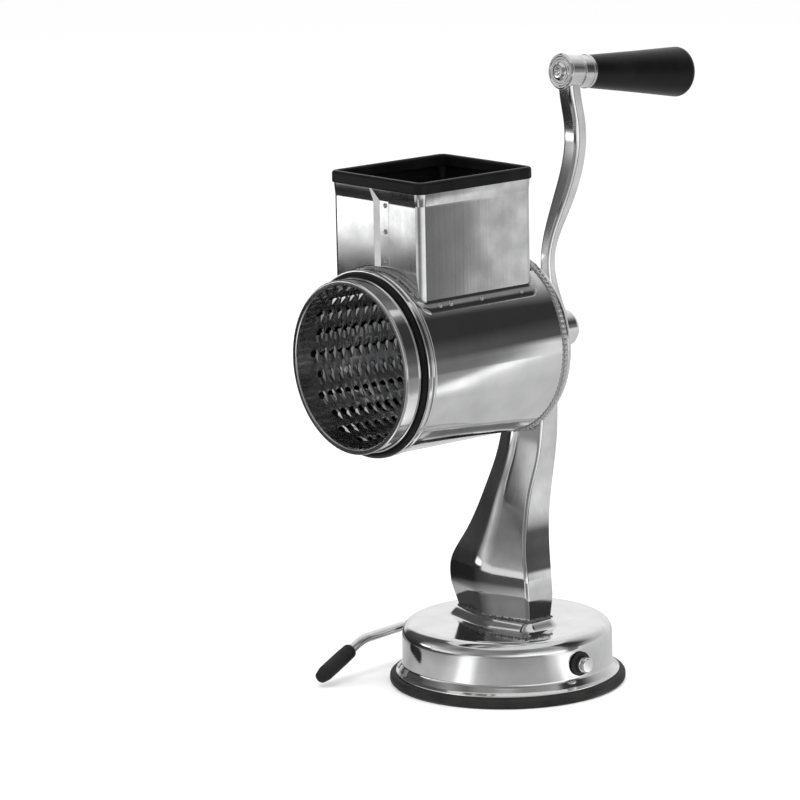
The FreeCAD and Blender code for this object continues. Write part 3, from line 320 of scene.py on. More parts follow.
def steelSkinGroup():
    # Polished sheet as hands leave it: broad soft waves, fine lines along the grain, wiped clouds.
    # roughness = gloss + wipe * cloud + a little of the lines
    # colour = tone, down to its darkest share in the clouds
    # height = waves + faint lines + specks
    tree = bpy.data.node_groups.new("steelSkin", "ShaderNodeTree")
    for label, kind in (("Place", "Vector"), ("Grain", "Vector"), ("Tone", "Color"),
                        ("Gloss", "Float"), ("Wipe", "Float"), ("Waves", "Float"),
                        ("Darkest", "Float")):
        tree.interface.new_socket(label, in_out="INPUT", socket_type="NodeSocket" + kind)
    for label, kind in (("Color", "Color"), ("Roughness", "Float"), ("Height", "Float")):
        tree.interface.new_socket(label, in_out="OUTPUT", socket_type="NodeSocket" + kind)
    given = tree.nodes.new("NodeGroupInput").outputs
    lines = noise(tree, given["Grain"], skin["lines"])
    waves, cloud, specks = (noise(tree, given["Place"], skin[kind])
                            for kind in ("waves", "cloud", "specks"))
    wiped = timesPlus(tree, cloud, given["Wipe"], given["Gloss"])
    shade = spread(tree, cloud, skin["cloudSpan"], (1.0, given["Darkest"]))
    drawn = timesPlus(tree, lines, skin["linesInHeight"], timesPlus(tree, waves, given["Waves"]))
    newNode(tree, "NodeGroupOutput", {
        "Color": blended(tree, 1.0, given["Tone"], shade, "MULTIPLY"),
        "Roughness": timesPlus(tree, lines, skin["linesInGloss"], wiped),
        "Height": timesPlus(tree, specks, skin["specksInHeight"], drawn)})
    return tree


steelSkin = steelSkinGroup()


def steelFinish(name, tone, gloss, wipe, waves, grain, bump=0.35, stretch=0.0, darkest=0.86):
    # grain: how often the fine lines repeat per metre along X, Y and Z, least the way they run
    material, tree, shader = newMaterial(name, {"Metallic": 1.0, "Anisotropic": stretch})
    place = tree.nodes.new("ShaderNodeTexCoord").outputs["Object"]
    mapping = newNode(tree, "ShaderNodeMapping", {"Vector": place, "Scale": grain})
    sheet = newNode(tree, "ShaderNodeGroup", {}, node_tree=steelSkin)
    setInputs(tree, sheet, {"Place": place, "Grain": mapping.outputs["Vector"], "Tone": tone + (1,),
                            "Gloss": gloss, "Wipe": wipe, "Waves": waves, "Darkest": darkest})
    relief = newNode(tree, "ShaderNodeBump", {"Height": sheet.outputs["Height"], "Strength": bump,
                                              "Distance": skin["relief"]})
    setInputs(tree, shader, {
        "Base Color": sheet.outputs["Color"], "Roughness": sheet.outputs["Roughness"],
        "Normal": relief.outputs["Normal"]})
    return material


moulded = {"pebbleDetail": 3, "mottle": (45, 4), "dustSpan": (0.35, 0.75), "smoother": 0.06,
           "rougher": 0.1, "specular": 0.13, "coatRough": 0.25, "relief": 0.0002}


def blackFinish(name, tone, rough, pebble, relief, coat=0.0, dust=0.02):
    # Moulded black: fine pebble, slow mottling in tone and roughness, dust a little warm
    m = moulded
    material, tree, shader = newMaterial(name, {
        "Specular IOR Level": m["specular"], "Coat Weight": coat, "Coat Roughness": m["coatRough"]})
    place = tree.nodes.new("ShaderNodeTexCoord").outputs["Object"]
    mottle = noise(tree, place, m["mottle"])
    dusty = (tone + dust, tone + dust, tone + dust * 0.95)
    roughSpan = rough - m["smoother"], rough + m["rougher"]
    bump = newNode(tree, "ShaderNodeBump", {
        "Height": noise(tree, place, (pebble, m["pebbleDetail"])), "Strength": relief,
        "Distance": m["relief"]})
    setInputs(tree, shader, {
        "Base Color": ramp(tree, [(m["dustSpan"][0], tone), (m["dustSpan"][1], dusty)], mottle),
        "Roughness": spread(tree, mottle, (0.0, 1.0), roughSpan),
        "Normal": bump.outputs["Normal"]})
    return material


barrelSteel = steelFinish("barrelSteel", tone=(0.74, 0.74, 0.745), gloss=0.03, wipe=0.05,
                          waves=0.22, grain=(700, 9, 700))
# painted shade: a near-black steel for the hopper's inside faces, standing in for the shadow down
# inside the hopper
paintedShadeInsideSteel = steelFinish("paintedShadeInsideSteel", tone=(0.05, 0.05, 0.05), gloss=0.38, wipe=0.15, waves=0.3,
                          grain=(500, 500, 12))
hopperSteel = steelFinish("hopperSteel", tone=(0.66, 0.66, 0.665), gloss=0.03, wipe=0.12,
                          waves=0.45, grain=(500, 500, 12), darkest=0.66)
legSteel = steelFinish("legSteel", tone=(0.74, 0.74, 0.745), gloss=0.05, wipe=0.07, waves=0.50,
                       grain=(600, 600, 14), darkest=0.76)
baseSteel = steelFinish("baseSteel", tone=(0.78, 0.78, 0.785), gloss=0.06, wipe=0.04, waves=0.10,
                        grain=(30, 30, 1800), stretch=0.2)
drumSteel = steelFinish("drumSteel", tone=(0.72, 0.72, 0.725), gloss=0.06, wipe=0.08, waves=0.35,
                        grain=(500, 14, 500), darkest=0.7)
rimSteel = steelFinish("rimSteel", tone=(0.74, 0.74, 0.745), gloss=0.06, wipe=0.06, waves=0.10,
                       grain=(60, 900, 60))
crankSteel = steelFinish("crankSteel", tone=(0.80, 0.80, 0.80), gloss=0.09, wipe=0.09, waves=0.45,
                         grain=(500, 500, 20), darkest=0.78)
plainSteel = steelFinish("plainSteel", tone=(0.55, 0.55, 0.56), gloss=0.24, wipe=0.12, waves=0.20,
                         grain=(300, 300, 300))
weldSteel = steelFinish("weldSteel", tone=(0.30, 0.29, 0.28), gloss=0.25, wipe=0.20, waves=0.60,
                        grain=(300, 300, 300), bump=0.8, darkest=0.4)
blackRubber = blackFinish("blackRubber", tone=0.012, rough=0.52, pebble=2600, relief=0.35)
blackPlastic = blackFinish("blackPlastic", tone=0.004, rough=0.34, pebble=3200, relief=0.2,
                           dust=0.006)
gripPlastic = blackFinish("gripPlastic", tone=0.003, rough=0.34, pebble=3800, relief=0.12, coat=0.1,
                          dust=0.004)
bushPlastic = blackFinish("bushPlastic", tone=0.015, rough=0.45, pebble=3000, relief=0.2)
print("shredder: finishes made")


# Base and suction pad

base = {
    "wall": 62.4, "top": 36.8, "sheet": 1.2, "edge": 8.0,
    "flare": 12.0, "flareRound": 3.0, "flareDrop": (3.6, 2.6),       # how the wall's foot bends out
    "flareInside": [(-2.6, 0.7), (0.5, -1.2)],
    "lip": 66.4, "lipBottom": 6.2, "lipRise": 0.9, "lipFold": 1.4, "lipRound": 0.3,
    "seatTop": 41.7,
    "ring": [(1.0, 38.4, 0), (1.0, 56, 0.5), (0, 57.2, 0.5), (0, 68.6, 0.8), (1.6, 70, 1.0),
             (4.6, 70, 1.2), (5.9, 68.4, 0.8), (6.2, 67.2, 0.5), (6.2, 58, 2), (3.2, 54, 2),
             (3.2, 38.4, 0)],
    "disc": [(0, 0, 0), (0, 36.8, 0.5), (1.0, 38, 0.5), (3.2, 38, 0.3), (3.2, 0, 0)]}


def makeBase():
    v = base
    top, wall, skinThick, lip, bottom = v["top"], v["wall"], v["sheet"], v["lip"], v["lipBottom"]
    flare, drop, soft, lipSoft = v["flare"], v["flareDrop"], v["flareRound"], v["lipRound"]
    inside = [(flare + rise, wall + out, 0) for rise, out in v["flareInside"]]
    outline = profile(
        [(top, 0, 0), (top, wall, v["edge"]), (flare, wall, soft),
         (flare - drop[0], wall + drop[1], soft), (bottom + v["lipRise"], lip, lipSoft),
         (bottom, lip, lipSoft), (bottom, lip - v["lipFold"], 0)] + inside
        + [(top - skinThick, wall - skinThick, v["edge"] - skinThick), (top - skinThick, 0, 0)],
        steps=12)
    turned("baseShell", outline, upAxis, baseSteel, "stand", "base_shell",
           segments=192, ring=False)
    turned("suctionRing", profile(v["ring"]), upAxis, blackRubber, "stand", "suction_ring",
           segments=160)
    turned("suctionDisc", profile(v["disc"]), upAxis, blackRubber, "lifter", "suction_disc",
           segments=128, ring=False)


makeBase()
print("shredder: base")


# Lever under the base

lever = {
    "farEnd": -66.0, "corner": -79.5, "bend": 8.0, "turnIn": 9.6, "level": 53.4, "droop": 20.9,
    "droopBend": 30.0, "drooped": 39.0, "rod": 2.9, "overhang": 5.0,
    "cap": [(-32, 2.9, 0), (-32, 3.85, 0.3), (-30.8, 4.55, 0.6), (-23, 4.75, 4), (-6.5, 4.75, 5),
            (-1.2, 3.515, 1.6), (0, 1.425, 0.4), (0, 0, 0), (-5, 0, 0), (-5, 2.9, 0)],
    "shaft": [(-66, 0, 0), (-66, 4.0, 0.2), (-65.5, 4.5, 0.2), (66.6, 4.5, 0.1), (66.9, 4.0, 0.1),
              (67.6, 4.0, 0.1), (67.9, 4.5, 0.1), (69.1, 4.5, 0.5), (69.9, 3.8, 0.4), (70, 0, 0)],
    "bush": [(56.4, 4.56, 0), (64.1, 4.56, 0.2), (64.1, 6.7, 0.4), (63.6, 7.2, 0.3), (62.7, 7.2, 0),
             (62.7, 6.0, 0), (56.4, 6.0, 0)]}


def makeLever():
    v = lever
    turn, droop = math.radians(v["turnIn"]), math.radians(v["droop"])
    along = np.array([math.sin(turn), -math.cos(turn), 0])
    down = along * math.cos(droop) - np.array([0, 0, math.sin(droop)])
    start, corner = (np.array([x, 0, axle["shaft"]]) for x in (v["farEnd"], v["corner"]))
    knee = corner + along * v["level"]
    tip = knee + down * v["drooped"]
    line = roundedLine([start, corner, knee, tip], [0, v["bend"], v["droopBend"], 0], steps=14)
    t = np.linspace(0, 2 * np.pi, 28, endpoint=False)
    ring = np.column_stack([np.cos(t), np.sin(t)]) * v["rod"]
    # a round section whose side direction stays level and square to the line
    tangent = np.gradient(line, axis=0)
    tangent /= np.linalg.norm(tangent, axis=1)[:, None]
    side = np.cross(tangent, [0, 0, 1.0])
    side /= np.linalg.norm(side, axis=1)[:, None]
    other = np.cross(side, tangent)
    grid = line[:, None] + ring[None, :, :1] * side[:, None] + ring[None, :, 1:] * other[:, None]
    piece("leverRod", [capped(grid)], crankSteel, "lever", ["lever_rod"])
    turned("leverCap", profile(v["cap"], steps=5), (tip + down * v["overhang"], down), blackRubber,
           "lever", "lever_cap", segments=48, ring=False)
    turned("crossShaft", profile(v["shaft"], steps=3), shaftAxis, crankSteel, "lever",
           "cross_shaft", segments=48, ring=False)
    near = profile(v["bush"], steps=3)
    bushes = [[spun(near * [way, 1], shaftAxis, 48, ring=True)] for way in (1, -1)]
    piece("shaftBushes", bushes, bushPlastic, "stand", ["shaft_bushes"])


makeLever()
print("shredder: lever")


# Leg: half width, front and back of the channel stand at even heights from foot to top

leg = {
    "foot": 41.7, "top": 221.0, "sheet": 1.2, "ridge": 7.7, "corner": 2.2, "cornerInside": 0.7,
    "crestShare": 0.27, "creaseBlend": 1.6,
    "half": [30.6, 33.9, 32.9, 26.5, 21.9, 19.2, 18.1, 17.3, 16.8, 16.6, 16.6, 16.6, 16.6],
    "front": [-11.0, -14.4, -14.6, -9.6, -3.6, 2.2, 8.8, 13.0, 15.2, 15.8, 15.8, 15.8, 15.8],
    "back": [6.6, 5.8, 5.6, 10.5, 15.0, 19.6, 23.4, 26.4, 27.6, 28.0, 28.0, 28.0, 28.0],
    "rows": [(41.7, 50, 5), (53, 60, 15), (60, 110, 34), (110, 204, 40)],     # from, to, how many
    "topBend": 16.76, "topCentre": 204.04, "topRows": (16.7, 1.5, 14),        # reach, last angle
    "sheetGap": 0.1, "sheetInset": 0.6, "sheetRound": 0.3, "hole": 13.6, "holeSpan": (-5, 40)}


def legTable(z):
    # Above the foot crease the values follow a smooth curve through the table, below it a
    # straight line; a cubic with both slopes joins them over a few millimetres.
    v = leg
    table = np.column_stack([v["half"], v["front"], v["back"]])
    knots = np.linspace(v["foot"], v["top"], len(table))
    crease, near, step = knots[1], v["creaseBlend"], 1e-3

    def upper(at):
        return splineThrough(knots[1:], table[1:], at)

    def lower(at):
        return table[0] + (at - knots[0])[:, None] / (knots[1] - knots[0]) * (table[1] - table[0])

    above = (z > crease)[:, None]
    out = np.where(above, upper(np.maximum(z, crease)), lower(np.minimum(z, crease)))
    blend = np.abs(z - crease) < near
    ends = np.array([crease - near, crease + near])
    p0, p1 = lower(ends[:1])[0], upper(ends[1:])[0]
    m0 = (table[1] - table[0]) / (knots[1] - knots[0]) * 2 * near
    m1 = (upper(ends[1:] + step)[0] - p1) / step * 2 * near
    t = ((z[blend] - ends[0]) / (2 * near))[:, None]
    out[blend] = ((2 * t ** 3 - 3 * t ** 2 + 1) * p0 + (t ** 3 - 2 * t ** 2 + t) * m0
                  + (3 * t ** 2 - 2 * t ** 3) * p1 + (t ** 3 - t ** 2) * m1)
    return out


def legRows(z, section):
    # Sections stacked up the leg; near the top the arc of the rounded end squeezes them sideways.
    bend, centre = leg["topBend"], leg["topCentre"]
    squeeze = np.sqrt(np.clip(bend ** 2 - np.clip(z - centre, 0, None) ** 2, 0.01, None)) / bend
    rows = [section(*values) * [narrow, 1] for values, narrow in zip(legTable(z), squeeze)]
    return np.stack([stacked(row, height) for row, height in zip(rows, z)])


def footPrint(half, front, back):
    # Corners of the leg's section from the back round the ridge to the back
    return [(-half, back), (-half, front), (0, front - leg["ridge"]), (half, front), (half, back)]


def makeLeg():
    v = leg
    reach, last, count = v["topRows"]
    z = np.unique(np.concatenate([np.linspace(*row) for row in v["rows"]]
                                 + [v["topCentre"] + reach * np.sin(np.linspace(0, last, count))]))

    def channel(half, front, back, inset):
        w, corner = half - inset, v["corner"] - inset * v["cornerInside"]
        crest = v["crestShare"] * math.hypot(w, v["ridge"]) / (v["ridge"] / w)     # over that share
        radii = [0, corner, crest, corner, 0]
        return roundedLine(footPrint(w, front + inset, back), radii, steps=12)

    def sheet(half, front, back):
        w, b = half - v["sheet"] - v["sheetGap"], back - v["sheetInset"]
        low = b - v["sheet"]
        return roundedLine([(-w, low), (w, low), (w, b), (-w, b)], [v["sheetRound"]] * 4, steps=2,
                           closed=True)

    outer, inner = (legRows(z, lambda h, f, b: channel(h, f, b, inset))
                    for inset in (0, v["sheet"]))
    loop = np.concatenate([outer, inner[:, ::-1]], axis=1)
    rims = [(np.stack([outer[k], inner[k]]), False, False) for k in (0, -1)]
    front = piece("legChannel", [[(loop, False, True)] + rims], legSteel, "stand", ["leg_front"],
                  sharp=50)
    back = piece("legBackSheet", [capped(legRows(z, sheet))], legSteel, "stand", ["leg_back"],
                 sharp=50)
    for part in (front, back):
        hole = spun([(y, v["hole"]) for y in v["holeSpan"]], barrelAxis, 64)
        cutBy(part, capped(hole[0]))


seat = {"margin": 0.4, "slope": 6.4, "round": 2.8, "ridgeRound": 40, "rows": 12, "sink": 0.02,
        "under": 0.6}
bead = {"pastBack": 1.2, "endRound": 0.8, "ridgeRound": 40, "points": 260, "around": 7,
        "inward": 0.15, "wide": 1.1, "high": 1.25, "middle": 0.85,
        "lumps": [(0.28, 2.6, 0), (0.2, 1.1, 1)]}                    # size, turns per mm, start


def makeSeat():
    # Mound under the foot: the foot's outline grown by a margin, climbing in a soft S
    v = seat
    half, front, back = legTable(np.array([leg["foot"]]))[0]
    t = np.linspace(0, 1, v["rows"])
    climb = (base["seatTop"] - base["top"]) * (3 * t ** 2 - 2 * t ** 3)
    rows = []
    for rise, out in zip(climb, v["slope"] * (1 - t)):
        grow = v["margin"] + out
        soft = v["round"] + max(grow, 0)
        ring = roundedLine(footPrint(half + grow, front - grow, back + grow),
                           [soft, soft, v["ridgeRound"], soft, soft], steps=8, closed=True)
        rows.append(stacked(ring, base["top"] + rise - v["sink"]))
    rows = np.stack([rows[0] - [0, 0, v["under"]]] + rows)
    piece("legSeat", [capped(rows)], baseSteel, "stand")


def makeFootWeld():
    # Half round carried along the foot's outline; its size swings by two sines of the run.
    v = bead
    half, front, back = legTable(np.array([leg["foot"]]))[0]
    radii = [v["endRound"], leg["corner"], v["ridgeRound"], leg["corner"], v["endRound"]]
    path = roundedLine(footPrint(half, front, back + v["pastBack"]), radii, steps=10, closed=True)
    gaps = np.linalg.norm(np.roll(path, -1, 0) - path, axis=1)
    run = np.concatenate([[0], np.cumsum(gaps)])
    even = np.linspace(0, run[-1], v["points"], endpoint=False)
    x, y = (np.interp(even, run, np.append(path[:, k], path[0, k])) for k in (0, 1))
    around = np.column_stack([x, y])
    ahead = np.roll(around, -1, 0) - np.roll(around, 1, 0)
    outward = np.column_stack([ahead[:, 1], -ahead[:, 0]]) / np.linalg.norm(ahead, axis=1)[:, None]
    if (outward * around).sum() < 0:
        outward = -outward
    a = np.linspace(0, np.pi, v["around"])
    lump = v["middle"] + sum(size * np.sin(even * rate + start) for size, rate, start in v["lumps"])
    wide = v["inward"] + v["wide"] * np.cos(a)[None] * lump[:, None]
    high = v["high"] * np.sin(a)[None] * lump[:, None]
    across = around[:, None] + outward[:, None] * wide[..., None]
    grid = np.concatenate([across, leg["foot"] + high[..., None]], -1)
    piece("footWeld", [[(grid, True, True)]], weldSteel, "stand", ["foot_weld"],
          sharp=0)


makeLeg()
makeSeat()
makeFootWeld()
print("shredder: leg")


# Barrel, its mouth ring, rear cover and bearing

barrel = {
    "mouth": -105.5,
    "outline": [(0, 52.6, 0), (0, 54.0, 0.3), (0.5, 54.3, 0.3), (2.8, 54.3, 0.5), (3.3, 53.5, 0.15),
                (3.7, 53.5, 0.15), (4.3, 54.1, 0.5), (5.4, 54.1, 0.5), (6.3, 53.4, 0.6),
                (105.5, 53.4, 0.2), (105.5, 52.6, 0)],
    "window": [(-35.5, -93.3, 10), (35.5, -12.9, 80)],                # heights above the axle
    "mouthRing": [(-107.6, 50.0, 0.5), (-106.8, 49.2, 0.5), (-99, 49.2, 0), (-99, 52.3, 0),
                  (-105.7, 52.3, 0), (-105.7, 52.9, 0.1), (-106.6, 52.9, 0.5), (-107.6, 51.7, 0.5)],
    "cover": [(0.4, 52.0, 0), (0.4, 53.2, 0), (6.4, 53.2, 3.0), (6.4, 13.6, 0), (5.2, 13.6, 0),
              (5.2, 52.0, 1.8)]}
bearing = {
    "housing": [(1.5, 11.6, 0), (1.5, 14.9, 0), (3.8, 14.9, 0), (3.8, 21, 0.4), (5.2, 21, 0.4),
                (5.2, 13.4, 0), (30.5, 13.4, 0.8), (30.5, 11.6, 0.3)],
    "rearBush": [(32.0, 9.06, 0.3), (22.5, 9.06, 0), (22.5, 11.55, 0), (30.6, 11.55, 0),
                 (30.6, 13.0, 0.2), (32.0, 13.0, 0.5)],
    "frontBush": [(0.0, 9.06, 0), (0.0, 13.0, 0.4), (1.4, 13.0, 0.2), (1.4, 11.55, 0),
                  (9.5, 11.55, 0), (9.5, 9.06, 0)]}
rearSeam = {"teeth": 112, "perTooth": 6, "rows": 5, "half": 1.9, "slant": 2.2, "edge": 53.5,
            "crown": 1.5, "depth": 0.55, "under": 53.45}


def makeBarrel():
    v = barrel
    shell = turned("barrelShell", profile(v["outline"], shift=v["mouth"]), barrelAxis, barrelSteel,
                   "stand", "barrel", segments=224)
    cutBy(shell, blockShell(*((x, y, axle["height"] + z) for x, y, z in v["window"])))
    turned("mouthRing", profile(v["mouthRing"], closed=True), barrelAxis, blackPlastic, "stand",
           "mouth_ring", segments=160)
    turned("rearCover", profile(v["cover"], steps=8), barrelAxis, barrelSteel, "stand",
           "rear_cover", segments=192)


def makeRearSeam():
    # Rolled seam: radius = edge + crown across the width, pressed in by even slanting teeth
    v = rearSeam
    across = np.linspace(-1, 1, v["rows"])[:, None]
    t = np.linspace(0, 2 * np.pi, v["teeth"] * v["perTooth"], endpoint=False)[None]
    crown = v["edge"] + v["crown"] * (1 - across ** 4)
    teeth = np.cos(v["teeth"] * t + across * v["slant"])
    radius = crown - v["depth"] * np.clip(0.5 - teeth, 0, 1) * (1 - across ** 2)
    seam = [roundBarrel(v["under"], -v["half"], t), roundBarrel(radius, across * v["half"], t),
            roundBarrel(v["under"], v["half"], t)]
    piece("rearSeam", [[(np.concatenate(seam), True, True)]], plainSteel, "stand", ["rear_seam"],
          sharp=60)


def makeBearing():
    turned("axleHousing", profile(bearing["housing"]), barrelAxis, plainSteel, "stand",
           "axle_housing", segments=96)
    for name, node in (("rearBush", "rear_bush"), ("frontBush", "front_bush")):
        turned(name, profile(bearing[name], steps=3, closed=True), barrelAxis, bushPlastic, "stand",
               node, segments=72)


makeBarrel()
makeRearSeam()
makeBearing()
print("shredder: barrel")


# Hopper

hopper = {
    "half": 38.0, "front": -95.8, "back": -10.4, "sheet": 0.8, "corner": 4.0, "crease": 299.0,
    "top": 309.5, "flare": 0.7, "saddle": 53.45, "longSteps": 26, "arcSteps": 9,
    "wallRows": (0.94, 9, [0.975, 1.0]), "leanRows": (0.03, 9, 1.2),    # shares of the way up
    "trim": [(-2.2, 306.0, 0.5), (1.7, 306.0, 0.7), (1.7, 312.8, 1.7), (-2.2, 312.8, 1.5)]}
flange = {"half": 42.4, "over": 3.2, "thick": 0.8, "gap": 0.02,
          "bend": [(0.05, 1.6), (0.08, 0.9), (0.25, 0.42), (0.6, 0.12), (1.1, 0.02), (2.4, 0)]}
lap = {"edge": -1.6, "far": 11, "proud": 0.78, "foot": 3.4, "skim": 0.06,
       "rounding": (0.35, 1.5, 0.04), "flare": 3.6, "leanFrom": 0.84, "rows": 16,
       "leanRows": (0.86, 8), "saddle": 54.35, "below": 3}


def hopperRing(grow):
    # Rounded rectangle at a distance grow outside the wall: corner arcs of radius corner + grow
    # and straight runs whose steps are finer near the corners
    v = hopper
    x, y0, y1 = v["half"] + grow, v["front"] - grow, v["back"] + grow
    r = max(v["corner"] + grow, 0.4)
    s = np.linspace(0, 1, v["longSteps"])[1:-1]
    ease = 0.5 - 0.5 * np.cos(np.pi * s)
    corners = [(x - r, y0 + r, -90), (x - r, y1 - r, 0), (r - x, y1 - r, 90), (r - x, y0 + r, 180)]
    arcs = []
    for cx, cy, first in corners:
        a = np.radians(first + np.linspace(0, 90, v["arcSteps"]))
        arcs.append(np.column_stack([cx + r * np.cos(a), cy + r * np.sin(a)]))
    parts = []
    for here, there in zip(arcs, arcs[1:] + arcs[:1]):
        parts += [here, here[-1] + ease[:, None] * (there[0] - here[-1])]
    return np.concatenate(parts)


def onSaddle(ring, radius):
    # Height of the barrel's surface of that radius over each point
    return axle["height"] + np.sqrt(np.maximum(radius ** 2 - ring[:, 0] ** 2, 0))


def hopperWall(inset):
    # Rows climb from the saddle curve to the crease, then lean out to the top edge.
    v = hopper
    to, count, last = v["wallRows"]
    start, leans, power = v["leanRows"]
    ring = hopperRing(-inset)
    low = onSaddle(ring, v["saddle"])
    rows = [np.column_stack([ring, low + (v["crease"] - low) * u])
            for u in np.concatenate([np.linspace(0, to, count), last])]
    for u in np.linspace(start, 1, leans) ** power:
        wider = hopperRing(-inset + v["flare"] * (1 - (1 - u) ** 2))
        rows.append(stacked(wider, v["crease"] + (v["top"] - v["crease"]) * u))
    return np.stack(rows)


def flangeRows(lift):
    # Out of the wall through a small bend, then down the barrel to the flange's edge
    v, rows = flange, []
    for reach, raised in v["bend"]:
        ring = hopperRing(reach + (lift if raised > 1 else 0))
        rows.append(np.column_stack([ring, onSaddle(ring, hopper["saddle"] + lift) + raised]))
    ring = hopperRing(v["over"]) * [v["half"] / (hopper["half"] + v["over"]), 1]
    rows.append(np.column_stack([ring, onSaddle(ring, hopper["saddle"] + lift)]))
    return np.stack(rows)


def lapRows():
    # The proud edge of one sheet leans back towards the near corner, widest under the trim.
    v, rows = lap, []
    low, top = axle["height"] + v["saddle"], hopper["top"] - v["below"]
    leanRows = np.linspace(v["leanRows"][0], 1, v["leanRows"][1])
    for u in np.concatenate([np.linspace(0, v["leanFrom"], v["rows"]), leanRows]):
        left = v["edge"] - v["flare"] * max(0, (u - v["leanFrom"]) / (1 - v["leanFrom"]))
        corners = [(left, 0), (left, -v["proud"]), (v["foot"], -v["skim"]),
                   (v["far"], -v["skim"]), (v["far"], 0)]
        section = roundedLine(corners, (0,) + v["rounding"] + (0,), steps=6)
        dip = v["saddle"] - np.sqrt(v["saddle"] ** 2 - section[:, 0] ** 2)
        rows.append(np.column_stack([section[:, 0], hopper["front"] + section[:, 1],
                                     low - dip * (1 - u) + (top - low) * u]))
    return np.stack(rows)


def makeHopper():
    v = hopper
    outer, inner = hopperWall(0), hopperWall(v["sheet"])
    walls = piece("hopperWall", [[(np.concatenate([outer, inner[::-1]]), True, True)]],
                  [hopperSteel, paintedShadeInsideSteel], "stand", ["hopper_body"], sharp=50)
    faces = walls.data.polygons
    centre, normal = np.empty(len(faces) * 3), np.empty(len(faces) * 3)
    faces.foreach_get("center", centre)
    faces.foreach_get("normal", normal)
    outward = centre.reshape(-1, 3) - [0, (v["front"] + v["back"]) / 2000, 0]     # half, in metres
    facing = (outward * normal.reshape(-1, 3))[:, :2].sum(1)
    faces.foreach_set("material_index", (facing < 0).astype(np.int32))            # painted shade: the inside faces take the near-black steel

    sheet = np.concatenate([flangeRows(flange["thick"]), flangeRows(flange["gap"])[::-1]])
    piece("hopperFlange", [[(sheet, True, True)]], hopperSteel, "stand", ["hopper_flange"],
          sharp=50)
    piece("hopperLap", [capped(lapRows())], hopperSteel, "stand", ["hopper_lap"],
          sharp=50)
    edge = profile(v["trim"], steps=6, closed=True)
    trim = np.stack([stacked(hopperRing(out), z) for out, z in edge])
    piece("hopperTrim", [[(trim, True, True)]], blackPlastic, "stand", ["hopper_trim"])


spot = {
    "saddle": 54.3, "sides": 14,
    "lap": [(8.2, z) for z in (297, 282, 265)], "lapPlace": -95.9,
    "flankOut": 40.3, "flank": (-84, -76, -52.6, -21.8),
    "frontOut": (-30, -15, 20, 32), "frontPlace": -97.7,
    "dot": [(0, 0.12), (0.45, 0.18), (0.9, 0.42), (1.2, 0.45), (1.45, 0.2), (1.5, 0.0),
            (0.8, -0.2), (0, -0.2)]}                                # its radius and height


def makeSpotWelds():
    # One shallow dimpled dot, laid at every place along that place's normal
    v = spot
    places, normals = [(x, v["lapPlace"], z) for x, z in v["lap"]], [(0, -1, 0)] * len(v["lap"])
    onBarrel = [(side * v["flankOut"], y) for side in (-1, 1) for y in v["flank"]]
    for x, y in onBarrel + [(x, v["frontPlace"]) for x in v["frontOut"]]:
        angle = math.acos(x / v["saddle"])
        normals.append((math.cos(angle), 0, math.sin(angle)))
        places.append((x, y, axle["height"] + math.sin(angle) * v["saddle"]))
    places, normals = np.array(places), np.array(normals)
    side = np.cross(normals, [0.3, 0.2, 0.93])                      # a direction off the normals
    side /= np.linalg.norm(side, axis=1)[:, None]
    other = np.cross(normals, side)
    t = np.linspace(0, 2 * np.pi, v["sides"], endpoint=False)
    out, up = np.array(v["dot"]).T[:, :, None]
    local = np.stack([out * np.cos(t), out * np.sin(t), up + 0 * t], -1)
    shells = [[(place + local @ np.stack(turn), False, True)]
              for place, *turn in zip(places, side, other, normals)]
    piece("spotWelds", shells, plainSteel, "stand", ["spot_welds"], sharp=0)


makeHopper()
makeSpotWelds()
print("shredder: hopper")


# Drum

drum = {
    "front": 118.5, "radius": 47.8, "sheet": 0.8, "back": -6.0, "frontLap": 1.5,
    "firstHole": 104.5, "pitch": 6.7, "columns": 24, "rows": 14, "frontRows": 7, "backRows": 6,
    "nibHeight": 1.15, "rings": [(2.15, 1.0), (2.9, 1.25)], "hollow": 3.4,    # radius and stretch
    "lifts": [(0.75, 0.25), (0, 0), (0, 0)],             # tilted and even shares of nibHeight
    "lipPower": 1.2, "hollowPower": 0.6,
    "angles": [-135, -160, 180, 160, 135, 90, 45, 20, 0, -20, -45, -90],
    "border": [(-1, -1), (-1, -0.5), (-1, 0), (-1, 0.5), (-1, 1), (0, 1), (1, 1), (1, 0.5), (1, 0),
               (1, -0.5), (1, -1), (0, -1)],
    "rim": [(0, 47.5, 0.3), (0, 49.7, 0.5), (0.7, 50.4, 0.4), (1.5, 49.9, 0.5), (9.2, 50.0, 0.5),
            (9.7, 50.55, 0.3), (10.5, 50.45, 0.3), (10.7, 49.6, 0.4), (10.7, 47.85, 0),
            (1.45, 47.85, 0), (1.45, 47.0, 0), (0.4, 47.0, 0.3)],
    "seam": [(-3, 47.85, 0), (-2.5, 48.7, 0.4), (0.6, 48.7, 0.4), (1.0, 48.3, 0.3), (1.0, 46.4, 0),
             (0.1, 46.4, 0), (0.1, 47.85, 0)],
    "disc": [(0, 46.9, 0), (-6, 46.9, 1.0), (-6, 33, 1.5), (-3.8, 30, 1.5), (-3.8, 9.05, 0),
             (-2.8, 9.05, 0), (-2.8, 30.6, 1.0), (-5, 33.6, 1.0), (-5, 45.9, 0.6), (0, 45.9, 0)],
    "collar": [(-2.75, 9.02, 0), (-2.75, 14.02, 0), (-1.6, 14.02, 0.8), (0.2, 11.5, 0.8),
               (0.2, 9.02, 0)]}
drumAxle = {
    "shank": [(-12.3, 0, 0), (-12.3, 13, 0.6), (-9.85, 13, 0.3), (-9.85, 9, 0), (34.4, 9, 0.8),
              (34.4, 4.3, 0), (34.9, 4.3, 0)],
    "start": 34.9, "end": 47.4, "root": 4.3, "ridge": 0.62, "pitch": 1.5, "sides": 48, "rows": 110,
    "fadeIn": 1.2, "fadeOut": 1.4, "flank": (1.5, 0.2)}


